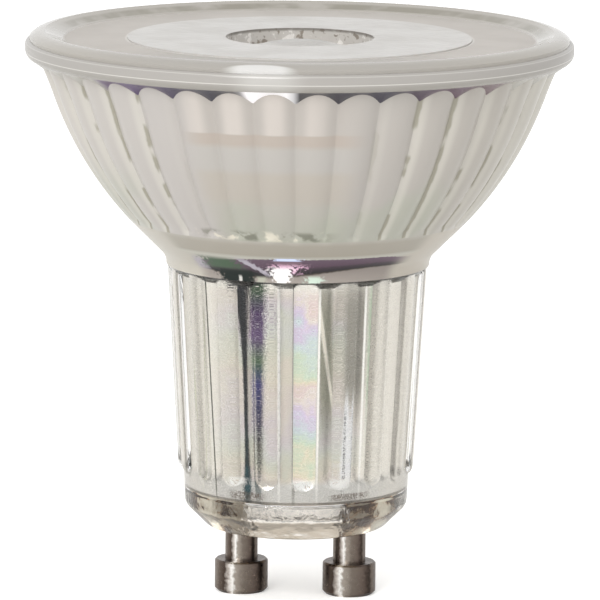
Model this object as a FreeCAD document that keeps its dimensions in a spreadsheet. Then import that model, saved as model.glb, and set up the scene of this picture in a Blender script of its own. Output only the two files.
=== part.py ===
import FreeCAD, Part
import math
import os
import re
import Sketcher

# Reflector spotlight lamp with a pressed-glass body, standing on its two stepped contact pins.
# The lamp axis is +Z. The origin is on that axis, level with the bottom of the pin heads, and
# the two pins stand on the X axis. Lengths are in millimetres.

Vector = FreeCAD.Vector

# Driving dimensions: name, value, what it is
SIZES = [
    ("pin_pitch", 10.0, "distance between the two pin axes"),
    ("pin_head_radius", 2.45, "locking head of a contact pin"),
    ("pin_head_height", 3.0, "height of that head"),
    ("pin_head_chamfer", 0.3, "bevel round the head's lower edge"),
    ("pin_shank_radius", 1.5, "shank between head and glass"),
    ("pin_shank_length", 3.5, "shank length below the glass"),
    ("pin_tenon_radius", 1.1, "tenon that is riveted through the foot"),
    ("rivet_radius", 1.6, "peened end of the tenon"),
    ("rivet_height", 0.5, "height of the peened end"),
    ("ferrule_radius", 1.95, "metal eyelet cast round each pin in the glass foot"),
    ("ferrule_flange_radius", 2.6, "flange of the eyelet on the cavity floor"),
    ("ferrule_flange_height", 0.35, "thickness of that flange"),
    ("fit_gap", 0.05, "radial clearance of a piece in its hole"),
    ("foot_thickness", 3.4, "solid glass under the cavity"),
    ("foot_bevel", 2.0, "bevel round the foot, 45 degrees"),
    ("foot_margin", 5.2, "foot outside each pin axis, above its bevel"),
    ("neck_length", 20.9, "cavity floor up to the collar"),
    ("neck_taper", 1.25, "how much wider the neck is at the collar"),
    ("neck_wall", 1.7, "glass wall of the neck"),
    ("rib_count", 19, "ribs round the neck"),
    ("rib_width", 2.1, "rib where it leaves the neck"),
    ("rib_height", 0.5, "how proud the ribs stand"),
    ("rib_start", 1.6, "bottom of the ribs above the cavity floor"),
    ("collar_step", 0.6, "plain collar beyond the neck"),
    ("collar_fillet", 1.7, "concave round from collar to shelf"),
    ("collar_wall", 1.45, "glass wall of the collar"),
    ("collar_bore_start", 0.7, "inner shoulder above the collar's lower edge"),
    ("shelf_width", 3.05, "plain 45 degree band under the flutes"),
    ("bowl_depth", 13.55, "fluted bowl, measured along the axis"),
    ("rim_overhang", 1.8, "widest part of the rim beyond the flutes"),
    ("bowl_curve", 33.4, "radius of the bowl's meridian"),
    ("bowl_wall", 1.6, "glass between the flute valleys and the inside"),
    ("flute_count", 38, "convex flutes round the bowl"),
    ("flute_depth", 0.6, "crest to valley, at the top of the bowl"),
    ("flute_toe", 0.55, "height over which a flute runs out at its lower end"),
    ("flute_stations", 6, "scalloped sections that carry the flutes up the bowl"),
    ("rim_radius", 25.0, "widest part of the glass, the cylindrical land of the bead"),
    ("rim_land", 0.55, "height of that land"),
    ("bead_undercut", 0.5, "how far the bead's lower edge is inside the land"),
    ("bead_round", 0.68, "height of the round under the land"),
    ("bead_curve", 0.85, "radius of that round"),
    ("bead_rise", 1.07, "bead's lower edge above the top of the bowl"),
    ("lip_round", 0.4, "round over the land"),
    ("flare_width", 2.3, "concave flare between flutes and bead, radially"),
    ("flare_height", 1.54, "the same along the axis"),
    ("flare_curve", 5.8, "radius of the flare"),
    ("rim_wall", 3.3, "glass round the mouth"),
    ("mouth_depth", 2.6, "depth of that bore"),
    ("lens_inset", 0.4, "edge of the front lens inside the widest glass"),
    ("lens_edge_height", 0.3, "upright edge of the front lens"),
    ("ridge_front", 1.4, "raised ridge of the lens, from its edge to the crest"),
    ("ridge_height", 0.85, "crest above the glass mouth"),
    ("ridge_round", 1.9, "outer round of the ridge"),
    ("ridge_back", 1.7, "the ridge from its crest to the plain ring"),
    ("plate_rise", 0.1, "plain ring of the lens above the glass mouth"),
    ("plate_thickness", 1.45, "thickness of that ring"),
    ("seal_width", 0.35, "space between the lens skirt and the glass mouth"),
    ("skirt_wall", 0.9, "wall of the skirt"),
    ("skirt_depth", 1.2, "skirt below the plain ring"),
    ("optic_radius", 15.7, "frosted optic zone"),
    ("optic_rise", 0.15, "optic zone above the plain ring"),
    ("well_radius", 6.75, "round well in the middle of the optic"),
    ("well_depth", 1.3, "depth of the well"),
    ("dome_radius", 5.3, "convex lens in the well, at its base"),
    ("dome_height", 1.05, "height of that lens"),
    ("collimator_gap", 0.45, "collimator above the dam of the light source"),
    ("collimator_foot_radius", 5.0, "lower edge of the collimator, outside"),
    ("collimator_curve", 21.0, "curve of the collimator's flank"),
    ("pocket_radius", 4.1, "pocket over the light source"),
    ("pocket_depth", 4.4, "depth of the pocket at its wall"),
    ("pocket_crown", 1.4, "how far its convex roof hangs down"),
    ("seal_height", 1.6, "adhesive ring between lens skirt and glass"),
    ("spreader_thickness", 1.0, "sheet of the heat spreader"),
    ("spreader_rise", 6.0, "flange of the heat spreader, up the bowl"),
    ("spreader_gap", 0.2, "adhesive between that flange and the glass"),
    ("spreader_hole_radius", 1.0, "holes for the output leads"),
    ("led_board_margin", 1.36, "flat of the spreader left free round the metal-core board"),
    ("pad_inset", 0.4, "thermal pad inside the edge of that board"),
    ("pad_thickness", 0.25, "thickness of the pad"),
    ("led_board_thickness", 1.0, "thickness of that board"),
    ("package_side", 8.0, "square ceramic package"),
    ("package_thickness", 0.8, "thickness of the package"),
    ("dam_radius", 3.6, "white dam round the phosphor"),
    ("dam_wall", 0.6, "wall of the dam"),
    ("dam_height", 0.4, "height of the dam"),
    ("insulator_thickness", 1.5, "disc between driver and heat spreader"),
    ("insulator_groove", 0.8, "groove that holds the driver board's top edge"),
    ("groove_gap", 0.1, "clearance of the board in that groove, each side"),
    ("driver_margin", 0.9, "driver board clear of the cavity wall, each side"),
    ("driver_thickness", 1.0, "thickness of the driver board"),
    ("driver_foot_width", 4.4, "tongue of the driver board that stands on the floor"),
    ("driver_foot_height", 2.3, "height of that tongue"),
    ("lead_radius", 0.3, "solid lead wire"),
    ("lead_hole_radius", 0.4, "hole for a lead in a board"),
    ("lead_bend", 0.8, "bend radius of a lead, on its centre line"),
    ("lead_stub", 0.6, "lead standing out behind a board"),
    ("lead_stand_off", 0.9, "centre of an upright lead in front of the driver board"),
    ("input_lead_rise", 3.4, "input lead above its rivet"),
    ("output_inset", 1.0, "output leads inside the driver board's edges"),
    ("output_lead_level", 2.6, "output leads leave the driver board this far below its top"),
    ("capacitor_radius", 3.15, "electrolytic capacitor"),
    ("capacitor_length", 11.0, "length of its can"),
    ("capacitor_offset", -3.6, "its axis along X"),
    ("capacitor_level", 7.0, "its lower end above the cavity floor"),
    ("capacitor_gap", 0.3, "its can off the board"),
    ("capacitor_pitch", 2.5, "distance between its leads"),
    ("capacitor_lead", 1.3, "its leads turn into the board this far below it"),
    ("capacitor_crimp", 0.25, "depth of the crimped groove round its can"),
    ("crimp_start", 0.9, "that groove above the can's lower end"),
    ("crimp_width", 0.9, "width of the groove"),
    ("film_width", 6.6, "film capacitor along X"),
    ("film_height", 4.0, "the same along Z"),
    ("film_depth", 4.6, "the same along Y"),
    ("film_offset", 3.4, "its middle along X"),
    ("film_level", 7.2, "its middle above the cavity floor"),
    ("film_pitch", 5.0, "distance between its leads"),
    ("film_rounding", 0.4, "rounded edges of its case"),
    ("choke_radius", 2.9, "drum of the choke"),
    ("choke_height", 4.8, "the same off the board"),
    ("choke_flange", 0.8, "end discs of the drum"),
    ("choke_waist", 1.5, "core inside the winding"),
    ("winding_inset", 0.35, "winding inside the edge of the end discs"),
    ("choke_offset", 3.4, "its axis along X"),
    ("choke_level", 14.6, "its axis above the cavity floor"),
    ("choke_pitch", 3.0, "distance between its pins"),
    ("resistor_radius", 1.1, "fusible resistor"),
    ("resistor_length", 5.0, "its body along X"),
    ("resistor_level", 4.3, "its axis above the cavity floor"),
    ("resistor_gap", 0.25, "its body off the board"),
    ("resistor_waist", 0.2, "its middle inside its end caps"),
    ("resistor_cap", 1.0, "length of an end cap"),
    ("resistor_taper", 0.5, "slope between an end cap and the middle"),
    ("resistor_lead", 1.1, "its leads turn into the board this far beside it"),
    ("bridge_width", 4.7, "bridge rectifier"),
    ("bridge_height", 3.9, "the same along Z"),
    ("bridge_depth", 2.4, "the same off the board"),
    ("bridge_offset", -3.4, "its middle along X"),
    ("chip_width", 4.9, "driver chip"),
    ("chip_height", 3.9, "the same along Z"),
    ("chip_depth", 1.5, "the same off the board"),
    ("chip_offset", -3.4, "its middle along X"),
    ("leg_width", 0.45, "leg of a surface-mounted part"),
    ("leg_reach", 0.9, "how far a leg stands out"),
    ("leg_thickness", 0.25, "thickness of a leg"),
    ("sense_count", 2, "small resistors in a row"),
    ("sense_pitch", 2.2, "distance between them"),
    ("sense_width", 3.2, "one of them along X"),
    ("sense_height", 1.6, "the same along Z"),
    ("sense_depth", 0.6, "the same off the board"),
    ("sense_offset", 3.4, "their middle along X"),
    ("sense_level", 9.1, "the lowest one above the cavity floor"),
]
NAMES = {name for name, _, _ in SIZES}

# Radii and levels as sums of the driving dimensions
FOOT_RADIUS = "(pin_pitch / 2 + foot_margin)"
NECK_RADIUS = f"({FOOT_RADIUS} + neck_taper)"
COLLAR_RADIUS = f"({NECK_RADIUS} + collar_step)"
COLLAR_BORE = f"({COLLAR_RADIUS} - collar_wall)"
BOWL_RADIUS = "(rim_radius - rim_overhang)"
MOUTH_RADIUS = "(rim_radius - rim_wall)"
SKIRT_RADIUS = f"({MOUTH_RADIUS} - seal_width)"
LENS_EDGE = "(rim_radius - lens_inset)"
DRIVER_WIDTH = f"(2 * ({FOOT_RADIUS} - neck_wall - driver_margin))"
OUTPUT_SPREAD = f"({DRIVER_WIDTH} - 2 * output_inset)"
FOOT = "(pin_head_height + pin_shank_length)"
FLOOR = f"({FOOT} + foot_thickness)"
COLLAR = f"({FLOOR} + neck_length)"
SHOULDER = f"({COLLAR} + collar_bore_start)"
SHELF_FOOT_RADIUS = f"({COLLAR_RADIUS} + collar_fillet * (1 - cos(45)))"
SHELF_RADIUS = f"({SHELF_FOOT_RADIUS} + shelf_width)"
BOWL = f"({COLLAR} + collar_fillet * sin(45) + shelf_width)"
BOWL_TOP = f"({BOWL} + bowl_depth)"
BEAD = f"({BOWL_TOP} + bead_rise)"
MOUTH = f"({BEAD} + bead_round + rim_land + lip_round)"
PLATE = f"({MOUTH} + plate_rise)"
SPREADER = f"({BOWL} + spreader_thickness)"
PAD = f"({SPREADER} + pad_thickness)"
LED_BOARD = f"({PAD} + led_board_thickness)"
PACKAGE = f"({LED_BOARD} + package_thickness)"
DRIVER_FOOT = f"({FLOOR} + driver_foot_height)"
DRIVER_TOP = f"({SHOULDER} + insulator_groove)"
RIVET = f"({FLOOR} + ferrule_flange_height + rivet_height)"
OUTPUT = f"({DRIVER_TOP} - output_lead_level)"
FRONT = "(driver_thickness / 2)"
RESISTOR = f"({FLOOR} + resistor_level)"
BACK_GAP = (f"(({SHOULDER} - {RESISTOR} - resistor_radius - bridge_height - chip_height"
            " - 4 * leg_reach) / 3)")
BRIDGE = f"({RESISTOR} + resistor_radius + {BACK_GAP} + leg_reach + bridge_height / 2)"
CHIP = f"({SHOULDER} - {BACK_GAP} - leg_reach - chip_height / 2)"
BOWL_INSET = "(flute_depth + bowl_wall)"

doc = FreeCAD.newDocument("spotlight")
sheet = doc.addObject("Spreadsheet::Sheet", "Sizes")
pieces = []


# The sheet of sizes, and numbers read from it

def fill_sheet():
    """Writes each driving dimension to its own row, with its name as the cell's alias."""
    for row, (name, size, note) in enumerate(SIZES, start=1):
        sheet.set(f"A{row}", name)
        sheet.set(f"B{row}", str(size))
        sheet.set(f"C{row}", note)
        sheet.setAlias(f"B{row}", name)
    doc.recompute()


def formula(text):
    """The same formula with each size's name pointing into the sheet."""

    def in_sheet(word):
        return f"Sizes.{word[0]}" if word[0] in NAMES else word[0]

    return re.sub(r"[a-z][a-z_]+", in_sheet, text)


def value(text):
    """The number that a formula of sizes gives now."""
    return float(sheet.evalExpression(formula(text)))


def keep(thing, label):
    """Gives a finished sub-part its name and puts it on the list of pieces."""
    thing.Label = label
    pieces.append(thing)
    return thing


# Outlines: corners (across, up) or (across, up, radius), as formulas
# A radius makes an arc to the next corner. With a minus sign it turns clockwise.

def points_of(outline):
    """Corners as vectors in the outline's own plane."""
    return [Vector(value(corner[0]), value(corner[1]), 0) for corner in outline]


def curve_between(start, end, corner):
    """A straight line, or the shorter arc of the corner's radius."""
    if len(corner) == 2:
        return Part.LineSegment(start, end)
    radius = value(corner[2])
    chord = end - start
    rise = abs(radius) - math.sqrt(radius**2 - (chord.Length / 2) ** 2)
    right = Vector(chord.y, -chord.x, 0).normalize()
    middle = (start + end) / 2 + right * math.copysign(rise, radius)
    return Part.Arc(start, middle, end)


def turned_shape(outline):
    """Solid of revolution about Z, straight from an outline."""
    points = points_of(outline)
    ends = points[1:] + points[:1]
    curves = [curve_between(*three) for three in zip(points, ends, outline)]
    wire = Part.Wire([curve.toShape() for curve in curves])
    wire.rotate(Vector(), Vector(1, 0, 0), 90)
    return Part.Face(wire).revolve(Vector(), Vector(0, 0, 1), 360)


def plane_of(body, role):
    """One of a body's own base planes."""
    return next(item for item in body.Origin.OriginFeatures if item.Role == role)


def new_sketch(body, name, role):
    """Empty sketch on one of the body's base planes."""
    sketch = body.newObject("Sketcher::SketchObject", name)
    sketch.AttachmentSupport = [(plane_of(body, role), "")]
    sketch.MapMode = "FlatFace"
    return sketch


def bind_distance(sketch, kind, geometry, end, text):
    """Ties one coordinate of a sketch point to a formula."""
    size = value(text)
    if abs(size) < 1e-9:
        axis = -2 if kind == "DistanceX" else -1
        sketch.addConstraint(Sketcher.Constraint("PointOnObject", geometry, end, axis))
    elif size > 0:
        index = sketch.addConstraint(Sketcher.Constraint(kind, -1, 1, geometry, end, size))
        sketch.setExpression(f"Constraints[{index}]", formula(text))
    else:
        index = sketch.addConstraint(Sketcher.Constraint(kind, geometry, end, -1, 1, -size))
        sketch.setExpression(f"Constraints[{index}]", formula(f"-({text})"))


def draw_outline(sketch, outline):
    """Draws a closed outline and ties every corner and every arc to its formulas."""
    points = points_of(outline)
    ends = points[1:] + points[:1]
    first = len(sketch.Geometry)
    for start, end, corner in zip(points, ends, outline):
        sketch.addGeometry(curve_between(start, end, corner), False)
    heads = []
    for i, start in enumerate(points):
        heads.append(1 if sketch.getPoint(first + i, 1).isEqual(start, 1e-6) else 2)
    for i, corner in enumerate(outline):
        here = first + i
        after = (i + 1) % len(outline)
        joint = Sketcher.Constraint("Coincident", here, 3 - heads[i], first + after, heads[after])
        sketch.addConstraint(joint)
        bind_distance(sketch, "DistanceX", here, heads[i], corner[0])
        bind_distance(sketch, "DistanceY", here, heads[i], corner[1])
        if len(corner) == 3:
            size = abs(value(corner[2]))
            index = sketch.addConstraint(Sketcher.Constraint("Radius", here, size))
            sketch.setExpression(f"Constraints[{index}]", formula(f"abs({corner[2]})"))


def draw_circles(sketch, centres, radius):
    """Draws a circle of one radius round each centre."""
    for across, up in centres:
        centre = Vector(value(across), value(up), 0)
        index = sketch.addGeometry(Part.Circle(centre, Vector(0, 0, 1), value(radius)), False)
        bind_distance(sketch, "DistanceX", index, 3, across)
        bind_distance(sketch, "DistanceY", index, 3, up)
        number = sketch.addConstraint(Sketcher.Constraint("Radius", index, value(radius)))
        sketch.setExpression(f"Constraints[{number}]", formula(radius))


def turned_body(label, outline):
    """Body of revolution about Z, from an outline of radius and height."""
    body = doc.addObject("PartDesign::Body", label)
    sketch = new_sketch(body, f"{label}_outline", "XZ_Plane")
    draw_outline(sketch, outline)
    turned = body.newObject("PartDesign::Revolution", f"{label}_turned")
    turned.Profile = sketch
    turned.ReferenceAxis = (sketch, ["V_Axis"])
    turned.Angle = 360
    sketch.Visibility = False
    return keep(body, label)


def padded_body(label, role, outline, thickness, middle=False):
    """Body padded from an outline on a base plane, upwards or to both sides."""
    body = doc.addObject("PartDesign::Body", label)
    sketch = new_sketch(body, f"{label}_outline", role)
    draw_outline(sketch, outline)
    pad(body, sketch, thickness, middle)
    return keep(body, label)


def pad(body, sketch, thickness, middle=False):
    """Pads a sketch of a body."""
    feature = body.newObject("PartDesign::Pad", f"{sketch.Name}_pad")
    feature.Profile = sketch
    feature.Midplane = middle
    feature.setExpression("Length", formula(thickness))
    sketch.Visibility = False
    return feature


def cut_through(body, role, name, centres, radius):
    """Drills round holes through a body, to both sides of a base plane."""
    sketch = new_sketch(body, name, role)
    draw_circles(sketch, centres, radius)
    doc.recompute()
    before = body.Shape.Volume
    feature = body.newObject("PartDesign::Pocket", f"{name}_cut")
    feature.Profile = sketch
    feature.Type = "ThroughAll"
    feature.Midplane = True
    sketch.Visibility = False
    doc.recompute()
    if body.Shape.Volume >= before:
        raise RuntimeError(f"{name} takes nothing away")


def placed(label, shape):
    """Free shape as a document object, at the place the shape was given."""
    thing = doc.addObject("Part::Feature", label)
    thing.Shape = shape
    thing.Placement = shape.Placement
    return keep(thing, label)


def rectangle(left, right, bottom, top):
    """Four corners as an outline."""
    return [(left, bottom), (right, bottom), (right, top), (left, top)]


def box(width, depth, height, corner):
    """Plain block from its lowest corner."""
    return Part.makeBox(width, depth, height, corner)


def rod(start, end, radius):
    """Round rod between two points."""
    return Part.makeCylinder(radius, (end - start).Length, start, end - start)


def wire_along(points, radius, bend):
    """Round wire through a list of points, with an arc at each bend."""
    edges = []
    start = points[0]
    for before, corner, after in zip(points, points[1:], points[2:]):
        incoming = (corner - before).normalize()
        outgoing = (after - corner).normalize()
        cut_back = bend * math.tan(incoming.getAngle(outgoing) / 2)
        arc_start = corner - incoming * cut_back
        arc_end = corner + outgoing * cut_back
        inward = (outgoing - incoming).normalize()
        centre = corner + inward * math.hypot(bend, cut_back)
        edges.append(Part.LineSegment(start, arc_start).toShape())
        edges.append(Part.Arc(arc_start, centre - inward * bend, arc_end).toShape())
        start = arc_end
    edges.append(Part.LineSegment(start, points[-1]).toShape())
    path = Part.Wire(edges)
    section = Part.Wire(Part.Circle(points[0], points[1] - points[0], radius).toShape())
    return path.makePipeShell([section], True, True)


# Glass body

def bowl_centre():
    """Centre of the bowl's meridian arc, as a radius and a level."""
    low = Vector(value(SHELF_RADIUS), value(BOWL), 0)
    high = Vector(value(BOWL_RADIUS), value(BOWL_TOP), 0)
    chord = high - low
    reach = math.sqrt(value("bowl_curve") ** 2 - (chord.Length / 2) ** 2)
    return (low + high) / 2 + Vector(-chord.y, chord.x, 0).normalize() * reach


def bowl_radius_at(level, inset="0"):
    """Radius of the bowl over the flutes at a level, or of a surface inside it."""
    centre = bowl_centre()
    return centre.x + math.sqrt(value(f"bowl_curve - {inset}") ** 2 - (level - centre.y) ** 2)


def bowl_inside_at(level):
    """Radius of the bowl's inner surface at a level."""
    return bowl_radius_at(value(level), BOWL_INSET)


def scalloped_ring(level, depth):
    """Closed ring of convex arcs, one for each flute, with a crest at the front."""
    count = round(value("flute_count"))
    step = 2 * math.pi / count
    front = -math.pi / 2
    crest = bowl_radius_at(level)
    valley = crest - depth if depth else crest

    def at(radius, turn):
        return Vector(radius * math.cos(turn), radius * math.sin(turn), level)

    arcs = []
    for i in range(count):
        middle = front + i * step
        ends = at(valley, middle - step / 2), at(valley, middle + step / 2)
        arcs.append(Part.Arc(ends[0], at(crest, middle), ends[1]).toShape())
    return Part.Wire(arcs)


def flutes():
    """Fluted block of the bowl: a short toe that runs out to the shelf, then the long flutes."""
    low = value(BOWL)
    toe_top = low + value("flute_toe")
    top = value(BEAD)
    depth = value("flute_depth")

    def depth_at(level):
        return depth * bowl_radius_at(level) / value(BOWL_RADIUS)

    toe_ends = [scalloped_ring(low, 0), scalloped_ring(toe_top, depth_at(toe_top))]
    spans = round(value("flute_stations")) - 1
    rings = []
    for i in range(spans + 1):
        level = toe_top + (top - toe_top) * i / spans
        rings.append(scalloped_ring(level, depth_at(level)))
    return Part.makeLoft(toe_ends, True, True).fuse(Part.makeLoft(rings, True, False))


def ribs():
    """Half-round ribs down the neck, with round ends and a hollow between two at the front."""
    width = value("rib_width")
    proud = value("rib_height")
    radius = ((width / 2) ** 2 + proud**2) / (2 * proud)
    sunk = radius - proud
    lean = value(f"neck_taper / ({COLLAR} - {FOOT} - foot_bevel)")
    low_level = value(f"{FLOOR} + rib_start + rib_width / 2")
    high_level = value(COLLAR)
    high = Vector(value(NECK_RADIUS) - sunk, 0, high_level)
    low = Vector(high.x - lean * (high_level - low_level), 0, low_level)
    rib = rod(low, high, radius).fuse(Part.makeSphere(radius, low))
    count = round(value("rib_count"))
    copies = []
    for i in range(count):
        copy = rib.copy()
        copy.rotate(Vector(), Vector(0, 0, 1), -90 + (i + 0.5) * 360 / count)
        copies.append(copy)
    return copies


def glass_body():
    """One pressed piece: thick foot, ribbed neck, plain collar, fluted bowl and beaded rim."""
    stem = turned_shape([
        ("0", FOOT),
        (f"{FOOT_RADIUS} - foot_bevel", FOOT),
        (FOOT_RADIUS, f"{FOOT} + foot_bevel"),
        (NECK_RADIUS, f"{COLLAR} - collar_step"),
        (COLLAR_RADIUS, COLLAR, "-collar_fillet"),
        (SHELF_FOOT_RADIUS, f"{COLLAR} + collar_fillet * sin(45)"),
        (SHELF_RADIUS, BOWL),
        ("0", BOWL),
    ])
    rim = turned_shape([
        ("0", f"{BEAD} - flare_height"),
        ("rim_radius - bead_undercut - flare_width", f"{BEAD} - flare_height", "-flare_curve"),
        ("rim_radius - bead_undercut", BEAD, "bead_curve"),
        ("rim_radius", f"{BEAD} + bead_round"),
        ("rim_radius", f"{MOUTH} - lip_round", "lip_round"),
        ("rim_radius - lip_round", MOUTH),
        ("0", MOUTH),
    ])
    mouth_floor = f"{MOUTH} - mouth_depth"
    cavity = turned_shape([
        ("0", FLOOR),
        (f"{FOOT_RADIUS} - neck_wall", FLOOR),
        (f"{NECK_RADIUS} - neck_wall", SHOULDER),
        (COLLAR_BORE, SHOULDER),
        (COLLAR_BORE, BOWL),
        (str(bowl_inside_at(BOWL)), BOWL, f"bowl_curve - {BOWL_INSET}"),
        (str(bowl_inside_at(mouth_floor)), mouth_floor),
        (MOUTH_RADIUS, mouth_floor),
        (MOUTH_RADIUS, MOUTH),
        ("0", MOUTH),
    ])
    glass = stem.multiFuse([flutes(), rim] + ribs()).removeSplitter()
    glass = glass.cut(cavity)
    for side in (-1, 1):
        bottom = Vector(side * value("pin_pitch / 2"), 0, value(FOOT))
        top = bottom + Vector(0, 0, value("foot_thickness"))
        glass = glass.cut(rod(bottom, top, value("ferrule_radius + fit_gap")))
    return placed("glass_body", glass.Solids[0])


# Contact pins, their eyelets and the input leads

def contact_pin(label, side):
    """Stepped pin: locking head, shank, and a tenon riveted over its eyelet."""
    body = turned_body(label, [
        ("0", "0"),
        ("pin_head_radius - pin_head_chamfer", "0"),
        ("pin_head_radius", "pin_head_chamfer"),
        ("pin_head_radius", "pin_head_height - pin_head_chamfer / 2"),
        ("pin_head_radius - pin_head_chamfer / 2", "pin_head_height"),
        ("pin_shank_radius", "pin_head_height"),
        ("pin_shank_radius", FOOT),
        ("pin_tenon_radius", FOOT),
        ("pin_tenon_radius", f"{RIVET} - rivet_height"),
        ("rivet_radius", f"{RIVET} - rivet_height"),
        ("rivet_radius", f"{RIVET} - rivet_height / 2"),
        ("pin_tenon_radius", RIVET),
        ("0", RIVET),
    ])
    body.setExpression("Placement.Base.x", formula(f"{side} * pin_pitch / 2"))


def ferrule(label, side):
    """Flanged metal eyelet in the glass foot."""
    body = turned_body(label, [
        ("pin_tenon_radius + fit_gap", FOOT),
        ("ferrule_radius", FOOT),
        ("ferrule_radius", FLOOR),
        ("ferrule_flange_radius", FLOOR),
        ("ferrule_flange_radius", f"{FLOOR} + ferrule_flange_height"),
        ("pin_tenon_radius + fit_gap", f"{FLOOR} + ferrule_flange_height"),
    ])
    body.setExpression("Placement.Base.x", formula(f"{side} * pin_pitch / 2"))


def input_lead(label, side):
    """Lead from the top of a pin, up the front of the driver board and through it."""
    across = side * value("pin_pitch / 2")
    front = value(f"{FRONT} + lead_stand_off")
    top = value(f"{RIVET} + input_lead_rise")
    back = value(f"-{FRONT} - lead_stub")
    foot = Vector(across, front, value(RIVET))
    route = [foot, Vector(across, front, top), Vector(across, back, top)]
    placed(label, wire_along(route, value("lead_radius"), value("lead_bend")))


def output_lead(label, side):
    """Lead from the driver board up to the top of the board that carries the light source."""
    across = side * value(f"{OUTPUT_SPREAD} / 2")
    front = value(f"{FRONT} + lead_stand_off")
    level = value(OUTPUT)
    back = value(f"-{FRONT} - lead_stub")
    top = value(f"{LED_BOARD} + lead_stub")
    corner = Vector(across, front, level)
    route = [Vector(across, back, level), corner, Vector(across, front, top)]
    placed(label, wire_along(route, value("lead_radius"), value("lead_bend")))


# Optics

def front_lens():
    """Front cover and collimator in one moulding."""
    dome_curve = "(dome_radius ^ 2 + dome_height ^ 2) / (2 * dome_height)"
    pocket_curve = "(pocket_radius ^ 2 + pocket_crown ^ 2) / (2 * pocket_crown)"
    under = f"{PLATE} - plate_thickness"
    foot = f"{PACKAGE} + dam_height + collimator_gap"
    well = f"{PLATE} + optic_rise - well_depth"
    crest = f"{LENS_EDGE} - ridge_front"
    skirt_bore = f"{SKIRT_RADIUS} - skirt_wall"
    turned_body("front_lens", [
        ("0", f"{well} + dome_height", f"-{dome_curve}"),
        ("dome_radius", well),
        ("well_radius", well),
        ("well_radius", f"{PLATE} + optic_rise"),
        ("optic_radius", f"{PLATE} + optic_rise"),
        ("optic_radius", PLATE),
        (f"{crest} - ridge_back", PLATE),
        (crest, f"{MOUTH} + ridge_height", "-ridge_round"),
        (LENS_EDGE, f"{MOUTH} + lens_edge_height"),
        (LENS_EDGE, MOUTH),
        (SKIRT_RADIUS, MOUTH),
        (SKIRT_RADIUS, f"{under} - skirt_depth"),
        (skirt_bore, f"{under} - skirt_depth"),
        (skirt_bore, under),
        ("optic_radius", under, "-collimator_curve"),
        ("collimator_foot_radius", foot),
        ("pocket_radius", foot),
        ("pocket_radius", f"{foot} + pocket_depth", f"-{pocket_curve}"),
        ("0", f"{foot} + pocket_depth - pocket_crown"),
    ])


def seal_ring():
    """Ring of clear adhesive between the lens skirt and the glass mouth."""
    turned_body("seal_ring", [
        (f"{SKIRT_RADIUS} + fit_gap", f"{MOUTH} - seal_height"),
        (f"{MOUTH_RADIUS} - fit_gap", f"{MOUTH} - seal_height"),
        (f"{MOUTH_RADIUS} - fit_gap", MOUTH),
        (f"{SKIRT_RADIUS} + fit_gap", MOUTH),
    ])


# Light source and its heat spreader

def output_holes():
    """Where the output leads pass the round plates."""
    front = f"{FRONT} + lead_stand_off"
    return [(f"-{OUTPUT_SPREAD} / 2", front), (f"{OUTPUT_SPREAD} / 2", front)]


def spreader_radius(level):
    """Outside of the heat spreader's flange at a level, clear of the glass."""
    return f"({bowl_inside_at(level)} - spreader_gap)"


def heat_spreader():
    """Dished aluminium sheet, seated on the inner shoulder of the bowl."""
    flange_top = f"{BOWL} + spreader_rise"
    foot = spreader_radius(BOWL)
    edge = spreader_radius(flange_top)
    lean = f"(({edge} - {foot}) / spreader_rise)"
    wall = f"(spreader_thickness * sqrt(1 + {lean} ^ 2))"
    body = turned_body("heat_spreader", [
        ("0", BOWL),
        (foot, BOWL),
        (edge, flange_top),
        (f"{edge} - {wall}", flange_top),
        (f"{foot} - {wall} + {lean} * spreader_thickness", SPREADER),
        ("0", SPREADER),
    ])
    cut_through(body, "XY_Plane", "spreader_holes", output_holes(), "spreader_hole_radius")


def disc_body(label, radius, bottom, thickness, hole_radius):
    """Flat round plate with two holes for the output leads."""
    top = f"{bottom} + {thickness}"
    body = turned_body(label, [("0", bottom), (radius, bottom), (radius, top), ("0", top)])
    cut_through(body, "XY_Plane", f"{label}_holes", output_holes(), hole_radius)
    return body


def led_package():
    """Square ceramic carrier with a round dam."""
    half = "package_side / 2"
    square = rectangle(f"-{half}", half, f"-{half}", half)
    body = padded_body("led_package", "XY_Plane", square, "package_thickness")
    body.setExpression("Placement.Base.z", formula(LED_BOARD))
    ring = new_sketch(body, "dam_outline", "XY_Plane")
    draw_circles(ring, [("0", "0")], "dam_radius")
    draw_circles(ring, [("0", "0")], "dam_radius - dam_wall")
    pad(body, ring, "package_thickness + dam_height")


def led_phosphor():
    """Domed phosphor inside the dam."""
    radius = "(dam_radius - dam_wall - fit_gap)"
    rise = "(dam_height / 2)"
    curve = f"({radius} ^ 2 + {rise} ^ 2) / (2 * {rise})"
    turned_body("led_phosphor", [
        ("0", PACKAGE),
        (radius, PACKAGE),
        (radius, f"{PACKAGE} + {rise}", curve),
        ("0", f"{PACKAGE} + 2 * {rise}"),
    ])


def insulating_disc():
    """Moulded disc on the inner shoulder of the collar, with a groove for the driver board."""
    radius = f"{COLLAR_BORE} - fit_gap"
    hole = "spreader_hole_radius"
    body = disc_body("insulating_disc", radius, SHOULDER, "insulator_thickness", hole)
    half = f"({DRIVER_WIDTH} / 2 + groove_gap)"
    side = "(driver_thickness / 2 + groove_gap)"
    sketch = new_sketch(body, "groove_outline", "XY_Plane")
    sketch.setExpression("AttachmentOffset.Base.z", formula(SHOULDER))
    draw_outline(sketch, rectangle(f"-{half}", half, f"-{side}", side))
    before = body.Shape.Volume
    groove = body.newObject("PartDesign::Pocket", "groove")
    groove.Profile = sketch
    groove.Reversed = True
    groove.setExpression("Length", "Sizes.insulator_groove")
    sketch.Visibility = False
    doc.recompute()
    if body.Shape.Volume >= before:
        raise RuntimeError("the groove takes nothing away")


# Driver

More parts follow.
